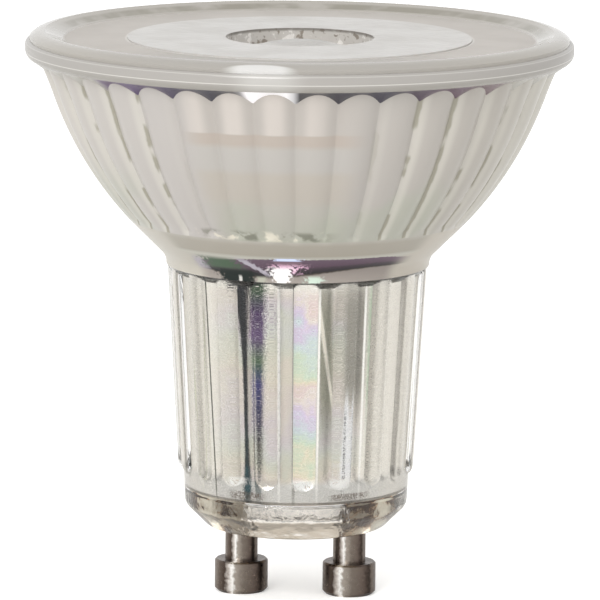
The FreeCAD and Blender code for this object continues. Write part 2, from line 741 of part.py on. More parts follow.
def pair(middle, pitch, level):
    """Two lead positions beside each other on the driver board."""
    return [(f"{middle} - {pitch} / 2", level), (f"{middle} + {pitch} / 2", level)]


CAPACITOR_BEND = f"{FLOOR} + capacitor_level - capacitor_lead"
CAPACITOR_LEADS = pair("capacitor_offset", "capacitor_pitch", CAPACITOR_BEND)
FILM_LEADS = pair("film_offset", "film_pitch", f"{FLOOR} + film_level")
CHOKE_LEADS = pair("choke_offset", "choke_pitch", f"{FLOOR} + choke_level")
RESISTOR_LEADS = pair("0", "(resistor_length + 2 * resistor_lead)", RESISTOR)
INPUT_LEADS = pair("0", "pin_pitch", f"{RIVET} + input_lead_rise")
OUTPUT_LEADS = pair("0", OUTPUT_SPREAD, OUTPUT)


def driver_board():
    """Upright board: its tongue stands on the cavity floor, its top edge sits in the groove."""
    half = f"{DRIVER_WIDTH} / 2"
    tongue = "driver_foot_width / 2"
    body = padded_body("driver_board", "XZ_Plane", [
        (f"-{tongue}", FLOOR),
        (tongue, FLOOR),
        (tongue, DRIVER_FOOT),
        (half, DRIVER_FOOT),
        (half, DRIVER_TOP),
        (f"-{half}", DRIVER_TOP),
        (f"-{half}", DRIVER_FOOT),
        (f"-{tongue}", DRIVER_FOOT),
    ], "driver_thickness", middle=True)
    part_leads = CAPACITOR_LEADS + FILM_LEADS + CHOKE_LEADS + RESISTOR_LEADS
    leads = part_leads + INPUT_LEADS + OUTPUT_LEADS
    cut_through(body, "XZ_Plane", "lead_holes", leads, "lead_hole_radius")


def straight_leads(places, start):
    """Straight leads from a part on the front of the board to just behind it."""
    back = value(f"-{FRONT} - lead_stub")
    rods = []
    for across, up in places:
        here = Vector(value(across), start, value(up))
        rods.append(rod(here, Vector(here.x, back, here.z), value("lead_radius")))
    return rods


def bulk_capacitor():
    """Electrolytic capacitor standing in front of the board, its leads bent back into it."""
    across = value("capacitor_offset")
    middle = value(f"{FRONT} + capacitor_gap + capacitor_radius")
    bottom = value(f"{FLOOR} + capacitor_level")
    can = turned_shape([
        ("0", "0"),
        ("capacitor_radius", "0"),
        ("capacitor_radius", "crimp_start"),
        ("capacitor_radius - capacitor_crimp", "crimp_start + crimp_width / 2"),
        ("capacitor_radius", "crimp_start + crimp_width"),
        ("capacitor_radius", "capacitor_length - capacitor_crimp"),
        ("capacitor_radius - capacitor_crimp", "capacitor_length"),
        ("0", "capacitor_length"),
    ])
    can.translate(Vector(across, middle, bottom))
    back = value(f"-{FRONT} - lead_stub")
    leads = []
    for places in CAPACITOR_LEADS:
        x, low = (value(place) for place in places)
        route = [Vector(x, middle, bottom), Vector(x, middle, low), Vector(x, back, low)]
        leads.append(wire_along(route, value("lead_radius"), value("lead_bend")))
    placed("bulk_capacitor", can.multiFuse(leads))


def film_capacitor():
    """Boxed film capacitor seated on the front of the board."""
    width, depth, height = value("film_width"), value("film_depth"), value("film_height")
    front = value(FRONT)
    left = value("film_offset") - width / 2
    bottom = value(f"{FLOOR} + film_level") - height / 2
    block = box(width, depth, height, Vector(left, front, bottom))
    outer = [edge for edge in block.Edges if edge.BoundBox.YMax > front + depth / 2]
    block = block.makeFillet(value("film_rounding"), outer)
    placed("film_capacitor", block.multiFuse(straight_leads(FILM_LEADS, front)))


def choke():
    """Drum core on the front of the board, and the winding between its end discs."""
    core = turned_shape([
        ("0", "0"),
        ("choke_radius", "0"),
        ("choke_radius", "choke_flange"),
        ("choke_waist", "choke_flange"),
        ("choke_waist", "choke_height - choke_flange"),
        ("choke_radius", "choke_height - choke_flange"),
        ("choke_radius", "choke_height"),
        ("0", "choke_height"),
    ])
    winding = turned_shape([
        ("choke_waist + fit_gap", "choke_flange + fit_gap"),
        ("choke_radius - winding_inset", "choke_flange + fit_gap"),
        ("choke_radius - winding_inset", "choke_height - choke_flange - fit_gap"),
        ("choke_waist + fit_gap", "choke_height - choke_flange - fit_gap"),
    ])
    seat = Vector(value("choke_offset"), value(FRONT), value(f"{FLOOR} + choke_level"))
    for shape in (core, winding):
        shape.rotate(Vector(), Vector(1, 0, 0), -90)
        shape.translate(seat)
    placed("choke_core", core.multiFuse(straight_leads(CHOKE_LEADS, seat.y)))
    placed("choke_winding", winding)


def fusible_resistor():
    """Axial resistor behind the board, its leads bent forward into it."""
    body = turned_shape([
        ("0", "0"),
        ("resistor_radius", "0"),
        ("resistor_radius", "resistor_cap"),
        ("resistor_radius - resistor_waist", "resistor_cap + resistor_taper"),
        ("resistor_radius - resistor_waist", "resistor_length - resistor_cap - resistor_taper"),
        ("resistor_radius", "resistor_length - resistor_cap"),
        ("resistor_radius", "resistor_length"),
        ("0", "resistor_length"),
    ])
    body.rotate(Vector(), Vector(0, 1, 0), 90)
    level = value(RESISTOR)
    depth = value(f"-{FRONT} - resistor_gap - resistor_radius")
    body.translate(Vector(value("-resistor_length / 2"), depth, level))
    front = value(f"{FRONT} + lead_stub")
    leads = []
    for (x, _), side in zip(RESISTOR_LEADS, (-1, 1)):
        start = Vector(side * value("resistor_length / 2"), depth, level)
        bend = Vector(value(x), depth, level)
        route = [start, bend, Vector(bend.x, front, level)]
        leads.append(wire_along(route, value("lead_radius"), value("lead_bend")))
    placed("fusible_resistor", body.multiFuse(leads))


def surface_part(label, kind, level, legs):
    """Flat moulded package behind the board, with flat legs above and below it."""
    x, z, back = value(f"{kind}_offset"), value(level), value(f"-{FRONT}")
    wide, high, deep = (value(f"{kind}_{side}") for side in ("width", "height", "depth"))
    body = box(wide, deep, high, Vector(x - wide / 2, back - deep, z - high / 2))
    reach, leg_width, thick = value("leg_reach"), value("leg_width"), value("leg_thickness")
    pitch = wide / legs
    strips = []
    for i in range(legs):
        left = x - wide / 2 + pitch * (i + 0.5) - leg_width / 2
        corner = Vector(left, back - thick, z - high / 2 - reach)
        strips.append(box(leg_width, thick, high + 2 * reach, corner))
    placed(label, body.multiFuse(strips))


def sense_resistors():
    """Small chip resistors in a column behind the board."""
    blocks = []
    for i in range(round(value("sense_count"))):
        middle = value(f"{FLOOR} + sense_level + {i} * sense_pitch")
        left = value("sense_offset - sense_width / 2")
        back = value(f"-{FRONT} - sense_depth")
        height = value("sense_height")
        corner = Vector(left, back, middle - height / 2)
        blocks.append(box(value("sense_width"), value("sense_depth"), height, corner))
    placed("sense_resistors", Part.makeCompound(blocks))


def export_pieces():
    """Checks every object and every piece, then writes one file for each piece."""
    doc.recompute()
    for item in doc.Objects:
        if {"Invalid", "Error"} & set(item.State):
            raise RuntimeError(f"{item.Label} did not build: {item.State}")
    for piece in pieces:
        if piece.Shape.isNull() or not piece.Shape.isValid() or piece.Shape.Volume <= 0:
            raise RuntimeError(f"{piece.Label} has no valid shape")
    os.makedirs("parts", exist_ok=True)
    for piece in pieces:
        piece.Shape.exportStep(f"parts/{piece.Label}.step")


fill_sheet()
glass_body()
front_lens()
seal_ring()
heat_spreader()
board_radius = f"({spreader_radius(BOWL)} - led_board_margin)"
pad_radius = f"{board_radius} - pad_inset"
disc_body("thermal_pad", pad_radius, SPREADER, "pad_thickness", "spreader_hole_radius")
disc_body("led_board", board_radius, PAD, "led_board_thickness", "lead_hole_radius")
led_package()
led_phosphor()
insulating_disc()
driver_board()
bulk_capacitor()
film_capacitor()
choke()
fusible_resistor()
surface_part("bridge_rectifier", "bridge", BRIDGE, legs=2)
surface_part("driver_chip", "chip", CHIP, legs=4)
sense_resistors()
for name, side in (("left", -1), ("right", 1)):
    contact_pin(f"contact_pin_{name}", side)
    ferrule(f"ferrule_{name}", side)
    input_lead(f"input_lead_{name}", side)
    output_lead(f"output_lead_{name}", side)
export_pieces()
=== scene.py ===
"""Looks of a pressed-glass reflector lamp that stands on its two stepped contact pins.

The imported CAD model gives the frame. The glass is worked out again as one finer surface with
its reflector film on the inside, and every other part keeps its CAD shape and gets a finish.
Sizes are in millimetres unless a name says otherwise. The front of the lamp faces -Y.
"""

import logging
import math
from dataclasses import dataclass
from enum import Enum

import bpy
import numpy as np
from bpy.types import ID, Material, NodeSocket, NodeTree, Object
from mathutils import Matrix, Vector

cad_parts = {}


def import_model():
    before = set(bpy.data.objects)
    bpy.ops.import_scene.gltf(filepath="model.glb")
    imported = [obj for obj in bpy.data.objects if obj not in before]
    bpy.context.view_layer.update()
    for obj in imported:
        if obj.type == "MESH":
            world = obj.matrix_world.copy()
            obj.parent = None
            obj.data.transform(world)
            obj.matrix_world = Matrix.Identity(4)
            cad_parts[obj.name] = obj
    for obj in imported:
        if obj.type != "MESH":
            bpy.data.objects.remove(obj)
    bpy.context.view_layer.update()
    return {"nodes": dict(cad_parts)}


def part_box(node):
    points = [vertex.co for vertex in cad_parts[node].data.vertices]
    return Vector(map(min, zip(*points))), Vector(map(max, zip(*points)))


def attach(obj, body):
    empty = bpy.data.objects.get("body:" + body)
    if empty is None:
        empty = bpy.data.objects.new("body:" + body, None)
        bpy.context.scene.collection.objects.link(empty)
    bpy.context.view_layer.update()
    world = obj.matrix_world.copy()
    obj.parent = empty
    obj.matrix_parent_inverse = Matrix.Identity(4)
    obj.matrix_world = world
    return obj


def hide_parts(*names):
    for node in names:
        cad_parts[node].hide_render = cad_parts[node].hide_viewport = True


MM = 0.001
HAIR = 0.01  # mm, less than from one row of the glass to the next
WHITE = (1.0, 1.0, 1.0)
Colour = tuple[float, float, float]
log = logging.getLogger("lamp")


class Face(Enum):
    """The finishes on the glass, in the order of its material slots."""

    CLEAR = 0
    FILM = 1
    EDGE = 2
    BOWL = 3
    BEAD = 4
    COLLAR = 5


# Shader graphs


class Wire:
    """Value in a shader graph; reckoning with it adds nodes."""

    def __init__(self, graph: "Graph", socket: NodeSocket) -> None:
        """Keeps the graph and the output that gives the value."""
        self.graph, self.socket = graph, socket

    def __add__(self, other: "Value") -> "Wire":
        """Sum of the two."""
        return self.graph.math("ADD", self, other)

    def __sub__(self, other: "Value") -> "Wire":
        """This less the other."""
        return self.graph.math("SUBTRACT", self, other)

    def __rsub__(self, other: float) -> "Wire":
        """A number less this."""
        return self.graph.math("SUBTRACT", other, self)

    def __mul__(self, other: "Value") -> "Wire":
        """Product of the two."""
        return self.graph.math("MULTIPLY", self, other)

    def __truediv__(self, other: "Value") -> "Wire":
        """This over the other."""
        return self.graph.math("DIVIDE", self, other)

    def __abs__(self) -> "Wire":
        """This without its sign."""
        return self.graph.math("ABSOLUTE", self)

    def fade(self, start: "Value", end: "Value") -> "Wire":
        """Smooth step over this: 0 at start and 1 at end; start may be the larger one."""
        sources = {"Value": self, "From Min": start, "From Max": end}
        return self.graph.add("MapRange", sources, "Result", interpolation_type="SMOOTHSTEP")

    def mix(self, low: "Hue", high: "Hue") -> "Wire":
        """Colour between two, by this as the mask: 0 gives low and 1 gives high."""
        return self.graph.add("Mix", {0: self, 6: low, 7: high}, 2, data_type="RGBA")

    def row(self) -> list["Wire"]:
        """All outputs of the node that gives this."""
        return [Wire(self.graph, socket) for socket in self.socket.node.outputs]

    def ramp(self, *stops: tuple[float, Colour]) -> "Wire":
        """Colour along this.

        Args:
            stops: places from 0 to 1 and the colours there, lowest first.

        Returns:
            The colour.
        """
        made = self.graph.add("ValToRGB", {0: self})
        elements = made.socket.node.color_ramp.elements
        while len(elements) < len(stops):
            elements.new(1.0)
        for element, (place, colour) in zip(elements, stops):
            element.position, element.color = place, (*colour, 1.0)
        return made


Value = Wire | float
Hue = Wire | Colour


class Graph:
    """The node tree of a material, a group or the world."""

    def __init__(self, tree: NodeTree) -> None:
        """Keeps the tree that the nodes go into."""
        self.tree = tree

    def feed(self, socket: NodeSocket, source: Value | Colour) -> None:
        """Sets a socket to a constant, or links it to a wire.

        Args:
            socket: input to fill.
            source: number, colour or wire.
        """
        if isinstance(source, Wire):
            self.tree.links.new(source.socket, socket)
        else:
            socket.default_value = (*source, 1.0) if isinstance(source, tuple) else source

    def add(self, kind: str, sources: dict[str | int, Value | Colour], output: str | int = 0,
            **settings: object) -> Wire:
        """Adds a node.

        Args:
            kind: Blender's name of the node type, after ShaderNode.
            sources: what goes into its inputs, by their names or numbers.
            output: name or number of the output that is wanted.
            settings: properties of the node.

        Returns:
            The output.
        """
        made = self.tree.nodes.new("ShaderNode" + kind)
        for name, setting in settings.items():
            setattr(made, name, setting)
        for title, source in sources.items():
            self.feed(made.inputs[title], source)
        return Wire(self, made.outputs[output])

    def math(self, operation: str, *sources: Value) -> Wire:
        """Result of a Math node, whose inputs are given in its own order."""
        return self.add("Math", dict(enumerate(sources)), operation=operation)

    def split(self, place: Wire) -> list[Wire]:
        """The three parts of a vector."""
        return self.add("SeparateXYZ", {0: place}).row()

    def seen(self) -> Wire:
        """Mask of what the camera sees straight."""
        return self.add("LightPath", {}, "Is Camera Ray")


class Paint(Graph):
    """Graph of a new material, with its place on the lamp and its Principled shader."""

    def __init__(self, name: str, group: NodeTree | None = None) -> None:
        """Starts the material.

        Args:
            name: name of the material.
            group: the group that gives height, radius and angle, where they are needed.
        """
        self.made = bpy.data.materials.new(name)
        self.made.use_nodes = True
        super().__init__(self.made.node_tree)
        self.spot = self.add("TexCoord", {}, "Object")
        if group:
            self.height, self.radius, self.angle = self.add("Group", {}, node_tree=group).row()

    def turn(self) -> Wire:
        """Share of the way round the lamp: 0.5 at the front, 0 and 1 at the back."""
        return (self.angle + 180.0) / 360.0

    def noise(self, scale: float, detail: float = 2.0, place: Wire | None = None) -> Wire:
        """Soft noise round 0.5, finer for a larger scale, on Object coordinates if not told."""
        sources = {"Vector": place or self.spot, "Scale": scale, "Detail": detail}
        return self.add("TexNoise", sources, "Fac")

    def bump(self, relief: Wire, strength: float, reach: float) -> Wire:
        """Normal over a relief; a relief of 1 stands reach mm high."""
        sources = {"Height": relief, "Strength": strength, "Distance": reach * MM}
        return self.add("Bump", sources)

    def done(self, sources: dict[str, Value | Colour]) -> Material:
        """Ends the material.

        Args:
            sources: what goes into the shader's sockets, by their names.

        Returns:
            The material.
        """
        shader = self.tree.nodes["Principled BSDF"]
        for title, source in sources.items():
            self.feed(shader.inputs[title], source)
        return self.made


def shader_group(name: str, inputs: dict[str, float], outputs: tuple[str, ...]) -> tuple:
    """Starts a shader node group of numbers.

    Args:
        name: name of the group.
        inputs: names and values of its inputs.
        outputs: names of its outputs.

    Returns:
        The group's graph, its inputs as wires, and the sockets that its outputs read.
    """
    group = bpy.data.node_groups.new(name, "ShaderNodeTree")
    for title, value in inputs.items():
        socket = group.interface.new_socket(title, in_out="INPUT", socket_type="NodeSocketFloat")
        socket.default_value = value
    for title in outputs:
        group.interface.new_socket(title, in_out="OUTPUT", socket_type="NodeSocketFloat")
    graph = Graph(group)
    given = group.nodes.new("NodeGroupInput").outputs
    wires = [Wire(graph, given[title]) for title in inputs]
    return graph, wires, group.nodes.new("NodeGroupOutput").inputs


def place_group() -> NodeTree:
    """Group that turns Object coordinates into lamp coordinates.

    Returns:
        Group that puts out the height over the pin bottoms in mm, the distance from the lamp's
        axis in mm, and the angle round it in degrees: 0 at the front, more towards +X.
    """
    graph, _, ends = shader_group("lamp_place", {}, ("Height", "Radius", "Angle"))
    x, y, z = graph.split(graph.add("TexCoord", {}, "Object"))
    turn = graph.math("ARCTAN2", x, y * -1.0)
    graph.feed(ends["Height"], z / MM)
    graph.feed(ends["Radius"], graph.math("SQRT", x * x + y * y) / MM)
    graph.feed(ends["Angle"], graph.math("DEGREES", turn))
    return graph.tree


def streak_group() -> NodeTree:
    """Group for one streak or patch of the film.

    Returns:
        Group that puts out a mask: 1 near a line that leans over the height, 0 away from it.
        Curve bends the lean and the width towards the top, Ragged lets the grain eat into the
        edge, Soft blurs it, and Cover is the share of the streak that the grain leaves.
    """
    inputs = {"Angle": 0.0, "Height": 0.0, "Grain": 0.5, "Centre": 0.0, "Lean": 0.0,
              "Width Low": 2.0, "Width High": 2.0, "Low": 10.0, "High": 31.0, "Curve": 1.0,
              "Ragged": 0.5, "Soft": 0.15, "Cover": 1.0}
    graph, wires, ends = shader_group("film_streak", inputs, ("Mask",))
    (angle, height, grain, centre, lean, width_low, width_high, low, high, curve, ragged, soft,
     cover) = wires
    share = (height - low) / (high - low)
    tip = soft * 0.5 + 0.01
    back = tip * -1.0
    inside = share.fade(back, tip) * (1.0 - share).fade(back, tip)
    bent = graph.math("POWER", graph.math("MAXIMUM", share, 0.0), curve)
    offset = abs(angle - (lean * bent + centre))
    width = (width_high - width_low) * bent + width_low
    eaten = (grain - 0.5) * (ragged * 2.0) + 1.0
    edge = (offset / (width * eaten)).fade(soft + 1.0, 1.0 - soft)
    bare = 1.0 - cover
    graph.feed(ends["Mask"], edge * inside * grain.fade(bare - 0.12, bare + 0.02))
    return graph.tree


# Finishes


@dataclass(frozen=True)
class Finish:
    """Plain finish with a fine grain over it."""

    name: str
    colour: Colour
    roughness: float = 0.5
    metallic: float = 0.0
    coat: float = 0.0
    grain: float = 0.08
    grain_scale: float = 900.0

    def material(self) -> Material:
        """Builds the finish.

        Returns:
            A material whose colour and roughness vary a little over the surface.
        """
        paint = Paint(self.name)
        grain = paint.noise(self.grain_scale, 4.0)
        dark = tuple(channel * (1 - self.grain * 2) for channel in self.colour)
        light = tuple(min(1.0, channel * (1 + self.grain)) for channel in self.colour)
        return paint.done({"Base Color": grain.mix(dark, light), "Metallic": self.metallic,
                           "Roughness": grain * self.grain + (self.roughness - self.grain / 2),
                           "Coat Weight": self.coat})


@dataclass(frozen=True)
class ClearGlass:
    """Pressed soda glass: clear, faintly green, wavy from the mould and dull at the foot."""

    place: NodeTree
    coat_end: float
    name: str = "pressed_glass"
    tint: Colour = (0.985, 0.985, 0.97)
    foot_tint: Colour = (0.92, 0.855, 0.77)
    # paler tint of the foot's sides: painted light
    foot_side_light_tint: Colour = (0.975, 0.945, 0.89)
    index: float = 1.5
    waviness: float = 0.035
    foot_roughness: float = 0.2

    def material(self) -> Material:
        """Builds the glass.

        Returns:
            A refracting material whose solid foot, below the film, is lumpy and tinted, and paler
            towards its sides as painted light.
        """
        paint = Paint(self.name, self.place)
        foot = paint.height.fade(self.coat_end + 0.15, self.coat_end - 0.15)
        # Painted light: the foot's tint turns paler towards its sides.
        side = abs(paint.angle).fade(25.0, 50.0)
        relief = paint.noise(600.0, 3.0) * foot * 1.2 + paint.noise(350.0) * self.waviness
        return paint.done({
            "Base Color": foot.mix(self.tint, side.mix(self.foot_tint, self.foot_side_light_tint)),
            "Roughness": foot * self.foot_roughness, "Normal": paint.bump(relief, 1.0, 0.2),
            "IOR": self.index, "Transmission Weight": 1.0})


@dataclass(frozen=True)
class Streak:
    """One streak or patch of the film, or of painted highlight and reflection on it: its place, its
    shape and its colour.

    A streak without a colour of its own takes the dark oil-like colours of thin film.
    """

    centre: float
    lean: float
    width_low: float
    width_high: float
    colour: Colour | None = None
    low: float = 10.0
    high: float = 32.0
    curve: float = 1.0
    ragged: float = 0.4
    soft: float = 0.15
    cover: float = 1.0

    def lay(self, paint: Paint, group: NodeTree, grain: Wire, under: Wire,
            oily: Wire | None = None) -> Wire:
        """Lays the streak over a colour.

        Args:
            paint: material that the streak is in.
            group: the streak group, whose inputs come in the order of the values here.
            grain: fine noise that eats into the edge.
            under: colour under the streak.
            oily: colour of a streak that has none of its own.

        Returns:
            The new colour.
        """
        values = (paint.angle, paint.height, grain, self.centre, self.lean, self.width_low,
                  self.width_high, self.low, self.high, self.curve, self.ragged, self.soft,
                  self.cover)
        mask = paint.add("Group", dict(enumerate(values)), node_tree=group)
        return mask.mix(under, self.colour or oily)


@dataclass(frozen=True)
class ReflectorFilm:
    """Thin metallic film on the inside of the glass, silvery with coloured interference."""

    place: NodeTree
    streak: NodeTree
    floor: float
    shoulder: float
    name: str = "reflector_film"
    mean_radius: float = 9.6
    # Streaks down the neck: the dark ones are partly the film's own marks and partly painted
    # reflection; the near-white lines on rib edges and the patches at rib feet are painted
    # highlights.
    streaks: tuple[Streak, ...] = (
        Streak(0.0, 0.0, 200.0, 200.0, (0.8, 0.77, 0.72), 29.8, 32.0, soft=0.6),
        Streak(5.0, 0.0, 60.0, 60.0, (0.53, 0.52, 0.5), 9.9, 12.0, soft=0.3, cover=0.9),
        Streak(4.0, 0.0, 0.8, 0.8, (0.3, 0.29, 0.27), ragged=0.2),
        Streak(22.0, -3.0, 4.0, 4.5, (0.27, 0.265, 0.21), 17.0, 30.5, ragged=0.1, soft=0.5),
        Streak(37.0, 0.0, 6.0, 7.5, (0.3, 0.285, 0.25), 19.0, 30.5, ragged=0.1, soft=0.45),
        Streak(25.0, -9.0, 0.7, 1.2, (0.72, 0.68, 0.6), 19.0, 29.0, soft=0.4),
        Streak(32.5, 0.0, 2.6, 0.8, (0.8, 0.8, 0.82), 12.0, 20.0, soft=0.3, cover=0.85),
        Streak(32.0, 0.0, 0.7, 0.5, (0.02, 0.02, 0.02), 11.0, 18.5, cover=0.3),
        Streak(47.0, 0.0, 2.0, 2.6, (0.42, 0.5, 0.38), 18.0, 30.5, soft=0.5),
        Streak(50.0, 0.0, 1.2, 1.2, (0.5, 0.42, 0.56), 16.0, 30.5, soft=0.5),
        Streak(-43.5, -4.0, 0.5, 0.5, (0.1, 0.1, 0.08), ragged=0.2),
        Streak(-55.0, -4.0, 0.2, 0.3, (0.66, 0.65, 0.53), soft=0.4),
        Streak(-15.8, 0.5, 1.8, 3.6, None, 10.5, 25.0, 1.0, 0.5, 0.3, 0.85),
        Streak(-15.5, 0.0, 3.4, 5.2, None, 23.5, 33.2, 0.7, 0.5, 0.3, 0.85),
        Streak(-22.4, -4.5, 1.1, 8.0, (0.004, 0.005, 0.008), 10.2, 31.2, 6.0, 0.5, 0.12),
        Streak(-22.2, 0.0, 2.4, 0.6, (0.01, 0.02, 0.022), 10.2, 18.0, ragged=0.5, soft=0.3),
        Streak(-22.0, 0.0, 2.8, 1.6, (0.015, 0.05, 0.06), 10.2, 13.5, ragged=0.6, soft=0.3),
        Streak(-23.0, 0.0, 9.0, 9.0, (0.1, 0.07, 0.05), 10.25, 11.0, soft=0.3, cover=0.45),
        Streak(37.0, 0.0, 10.0, 10.0, (0.1, 0.07, 0.05), 10.25, 10.9, soft=0.3, cover=0.5),
        # Painted highlights along rib edges.
        Streak(-4.0, 0.0, 0.7, 0.7, (0.95, 0.93, 0.9), 12.0, 30.5, ragged=0.3, soft=0.4),
        Streak(17.0, 0.0, 0.6, 0.6, (0.93, 0.91, 0.88), 12.0, 30.5, ragged=0.3, soft=0.4),
        Streak(42.5, 0.0, 0.7, 0.7, (0.93, 0.91, 0.88), 12.0, 30.5, ragged=0.3, soft=0.4),
        # Painted highlights at the rib feet.
        Streak(9.5, 0.0, 5.0, 4.5, (0.95, 0.95, 0.93), 11.5, 12.3, 1.0, 0.7, 0.5, 0.8),
        Streak(28.5, 0.0, 4.5, 4.5, (0.9, 0.89, 0.87), 11.5, 12.3, 1.0, 0.7, 0.5, 0.7),
        Streak(-28.4, 0.0, 4.5, 4.5, (0.93, 0.92, 0.9), 11.7, 12.3, 1.0, 0.7, 0.5, 0.7),
    )

    def material(self) -> Material:
        """Builds the film.

        Returns:
            A metallic material with bands over the height, streaks down the neck that are partly
            painted reflection, painted highlights on rib edges and at rib feet, painted reflection
            that darkens the neck in front, and an interference tint that drifts over the surface.
        """
        paint = Paint(self.name, self.place)
        height = paint.height
        angle = paint.math("RADIANS", paint.angle)
        cosine = paint.math("COSINE", angle)
        across, deep = paint.math("SINE", angle) * self.mean_radius, cosine * self.mean_radius

        def unrolled(stretch: float) -> Wire:
            """Place on the film's mean radius, with its height stretched."""
            return paint.add("CombineXYZ", {0: across, 1: deep, 2: height * stretch})

        drift = paint.noise(0.45, 3.0, unrolled(0.6))
        grain = paint.noise(15.0, 3.0, unrolled(1.0)).fade(0.3, 0.7)
        scratches = paint.noise(0.9, 4.0, unrolled(6.0))
        oily = ((height - self.floor) / (self.shoulder - self.floor)).ramp(
            (0.0, (0.02, 0.06, 0.07)), (0.12, (0.03, 0.05, 0.05)), (0.25, (0.04, 0.03, 0.02)),
            (0.42, (0.02, 0.02, 0.1)), (0.52, (0.03, 0.03, 0.16)), (0.62, (0.05, 0.11, 0.05)),
            (0.72, (0.1, 0.05, 0.15)), (0.82, (0.06, 0.02, 0.1)), (0.92, (0.03, 0.07, 0.03)),
            (1.0, (0.01, 0.01, 0.01)))
        neck = self.neck(paint, cosine, drift, grain)
        colour = (scratches * 0.35).mix(neck, (0.55, 0.5, 0.44))
        for streak in self.streaks:
            colour = streak.lay(paint, self.streak, grain, colour, oily)
        shelf = height.fade(self.shoulder - 0.05, self.shoulder + 0.05)
        colour = shelf.mix(colour, (0.72, 0.69, 0.6))
        colour = height.fade(self.floor + 0.1, self.floor).mix(colour, (0.61, 0.535, 0.435))
        rough = grain * 0.14 + 0.24
        above = height.fade(self.shoulder - 0.2, self.shoulder + 0.2)
        return paint.done({"Base Color": colour, "Metallic": 1.0,
                           "Roughness": (0.52 - rough) * above + rough})

    def neck(self, paint: Paint, cosine: Wire, drift: Wire, grain: Wire) -> Wire:
        """Colour of the neck: grey cream, darker in front and paler at the sides as painted
        reflection, with one rib's width of interference colours.

        Args:
            paint: material of the film.
            cosine: cosine of the angle round the lamp's axis.
            drift: coarse noise.
            grain: fine noise.

        Returns:
            The colour.
        """
        phase = drift * 1.4 + paint.height * 0.11 + grain * 0.1
        interference = paint.math("FRACT", phase).ramp(
            (0.0, (0.72, 0.58, 0.59)), (0.18, (0.76, 0.69, 0.53)), (0.36, (0.58, 0.7, 0.55)),
            (0.54, (0.57, 0.67, 0.71)), (0.72, (0.64, 0.54, 0.74)), (0.9, (0.76, 0.69, 0.63)),
            (1.0, (0.72, 0.58, 0.59)))
        near = abs(paint.angle - 10.5).fade(6.5, 4.5)
        wide = cosine.fade(0.6, 0.95) * 0.3
        # Painted reflection: paler at the sides, darker in front.
        plain = cosine.fade(0.7, 0.98).mix((0.82, 0.79, 0.73), (0.5, 0.468, 0.425))
        return paint.math("MAXIMUM", near, wide).mix(plain, interference)


@dataclass(frozen=True)
class UnderBeadReflection:
    """Painted dark reflection on the bead's underside: near black and violet in front, with a
    painted white highlight there, and the bead's colour at the sides.
    """

    place: NodeTree
    name: str = "under_bead_reflection"

    def material(self) -> Material:
        """Builds the painted reflection.

        Returns:
            A glossy material whose colour runs round the lamp.
        """
        paint = Paint(self.name, self.place)
        # Painted reflection by the angle round the lamp: violet to near black in front, broken by a
        # painted white highlight.
        colour = paint.turn().ramp(
            (0.38, (0.36, 0.345, 0.31)), (0.386, (0.09, 0.05, 0.12)), (0.41, (0.07, 0.04, 0.11)),
            (0.45, (0.03, 0.027, 0.05)), (0.48, (0.03, 0.03, 0.036)), (0.482, (0.95, 0.92, 0.95)),
            (0.511, (0.95, 0.94, 0.96)), (0.513, (0.03, 0.03, 0.035)), (0.57, (0.03, 0.025, 0.045)),
            (0.61, (0.09, 0.05, 0.08)), (0.645, (0.16, 0.11, 0.12)), (0.66, (0.36, 0.345, 0.31)))
        return paint.done({"Base Color": colour, "Roughness": 0.3})


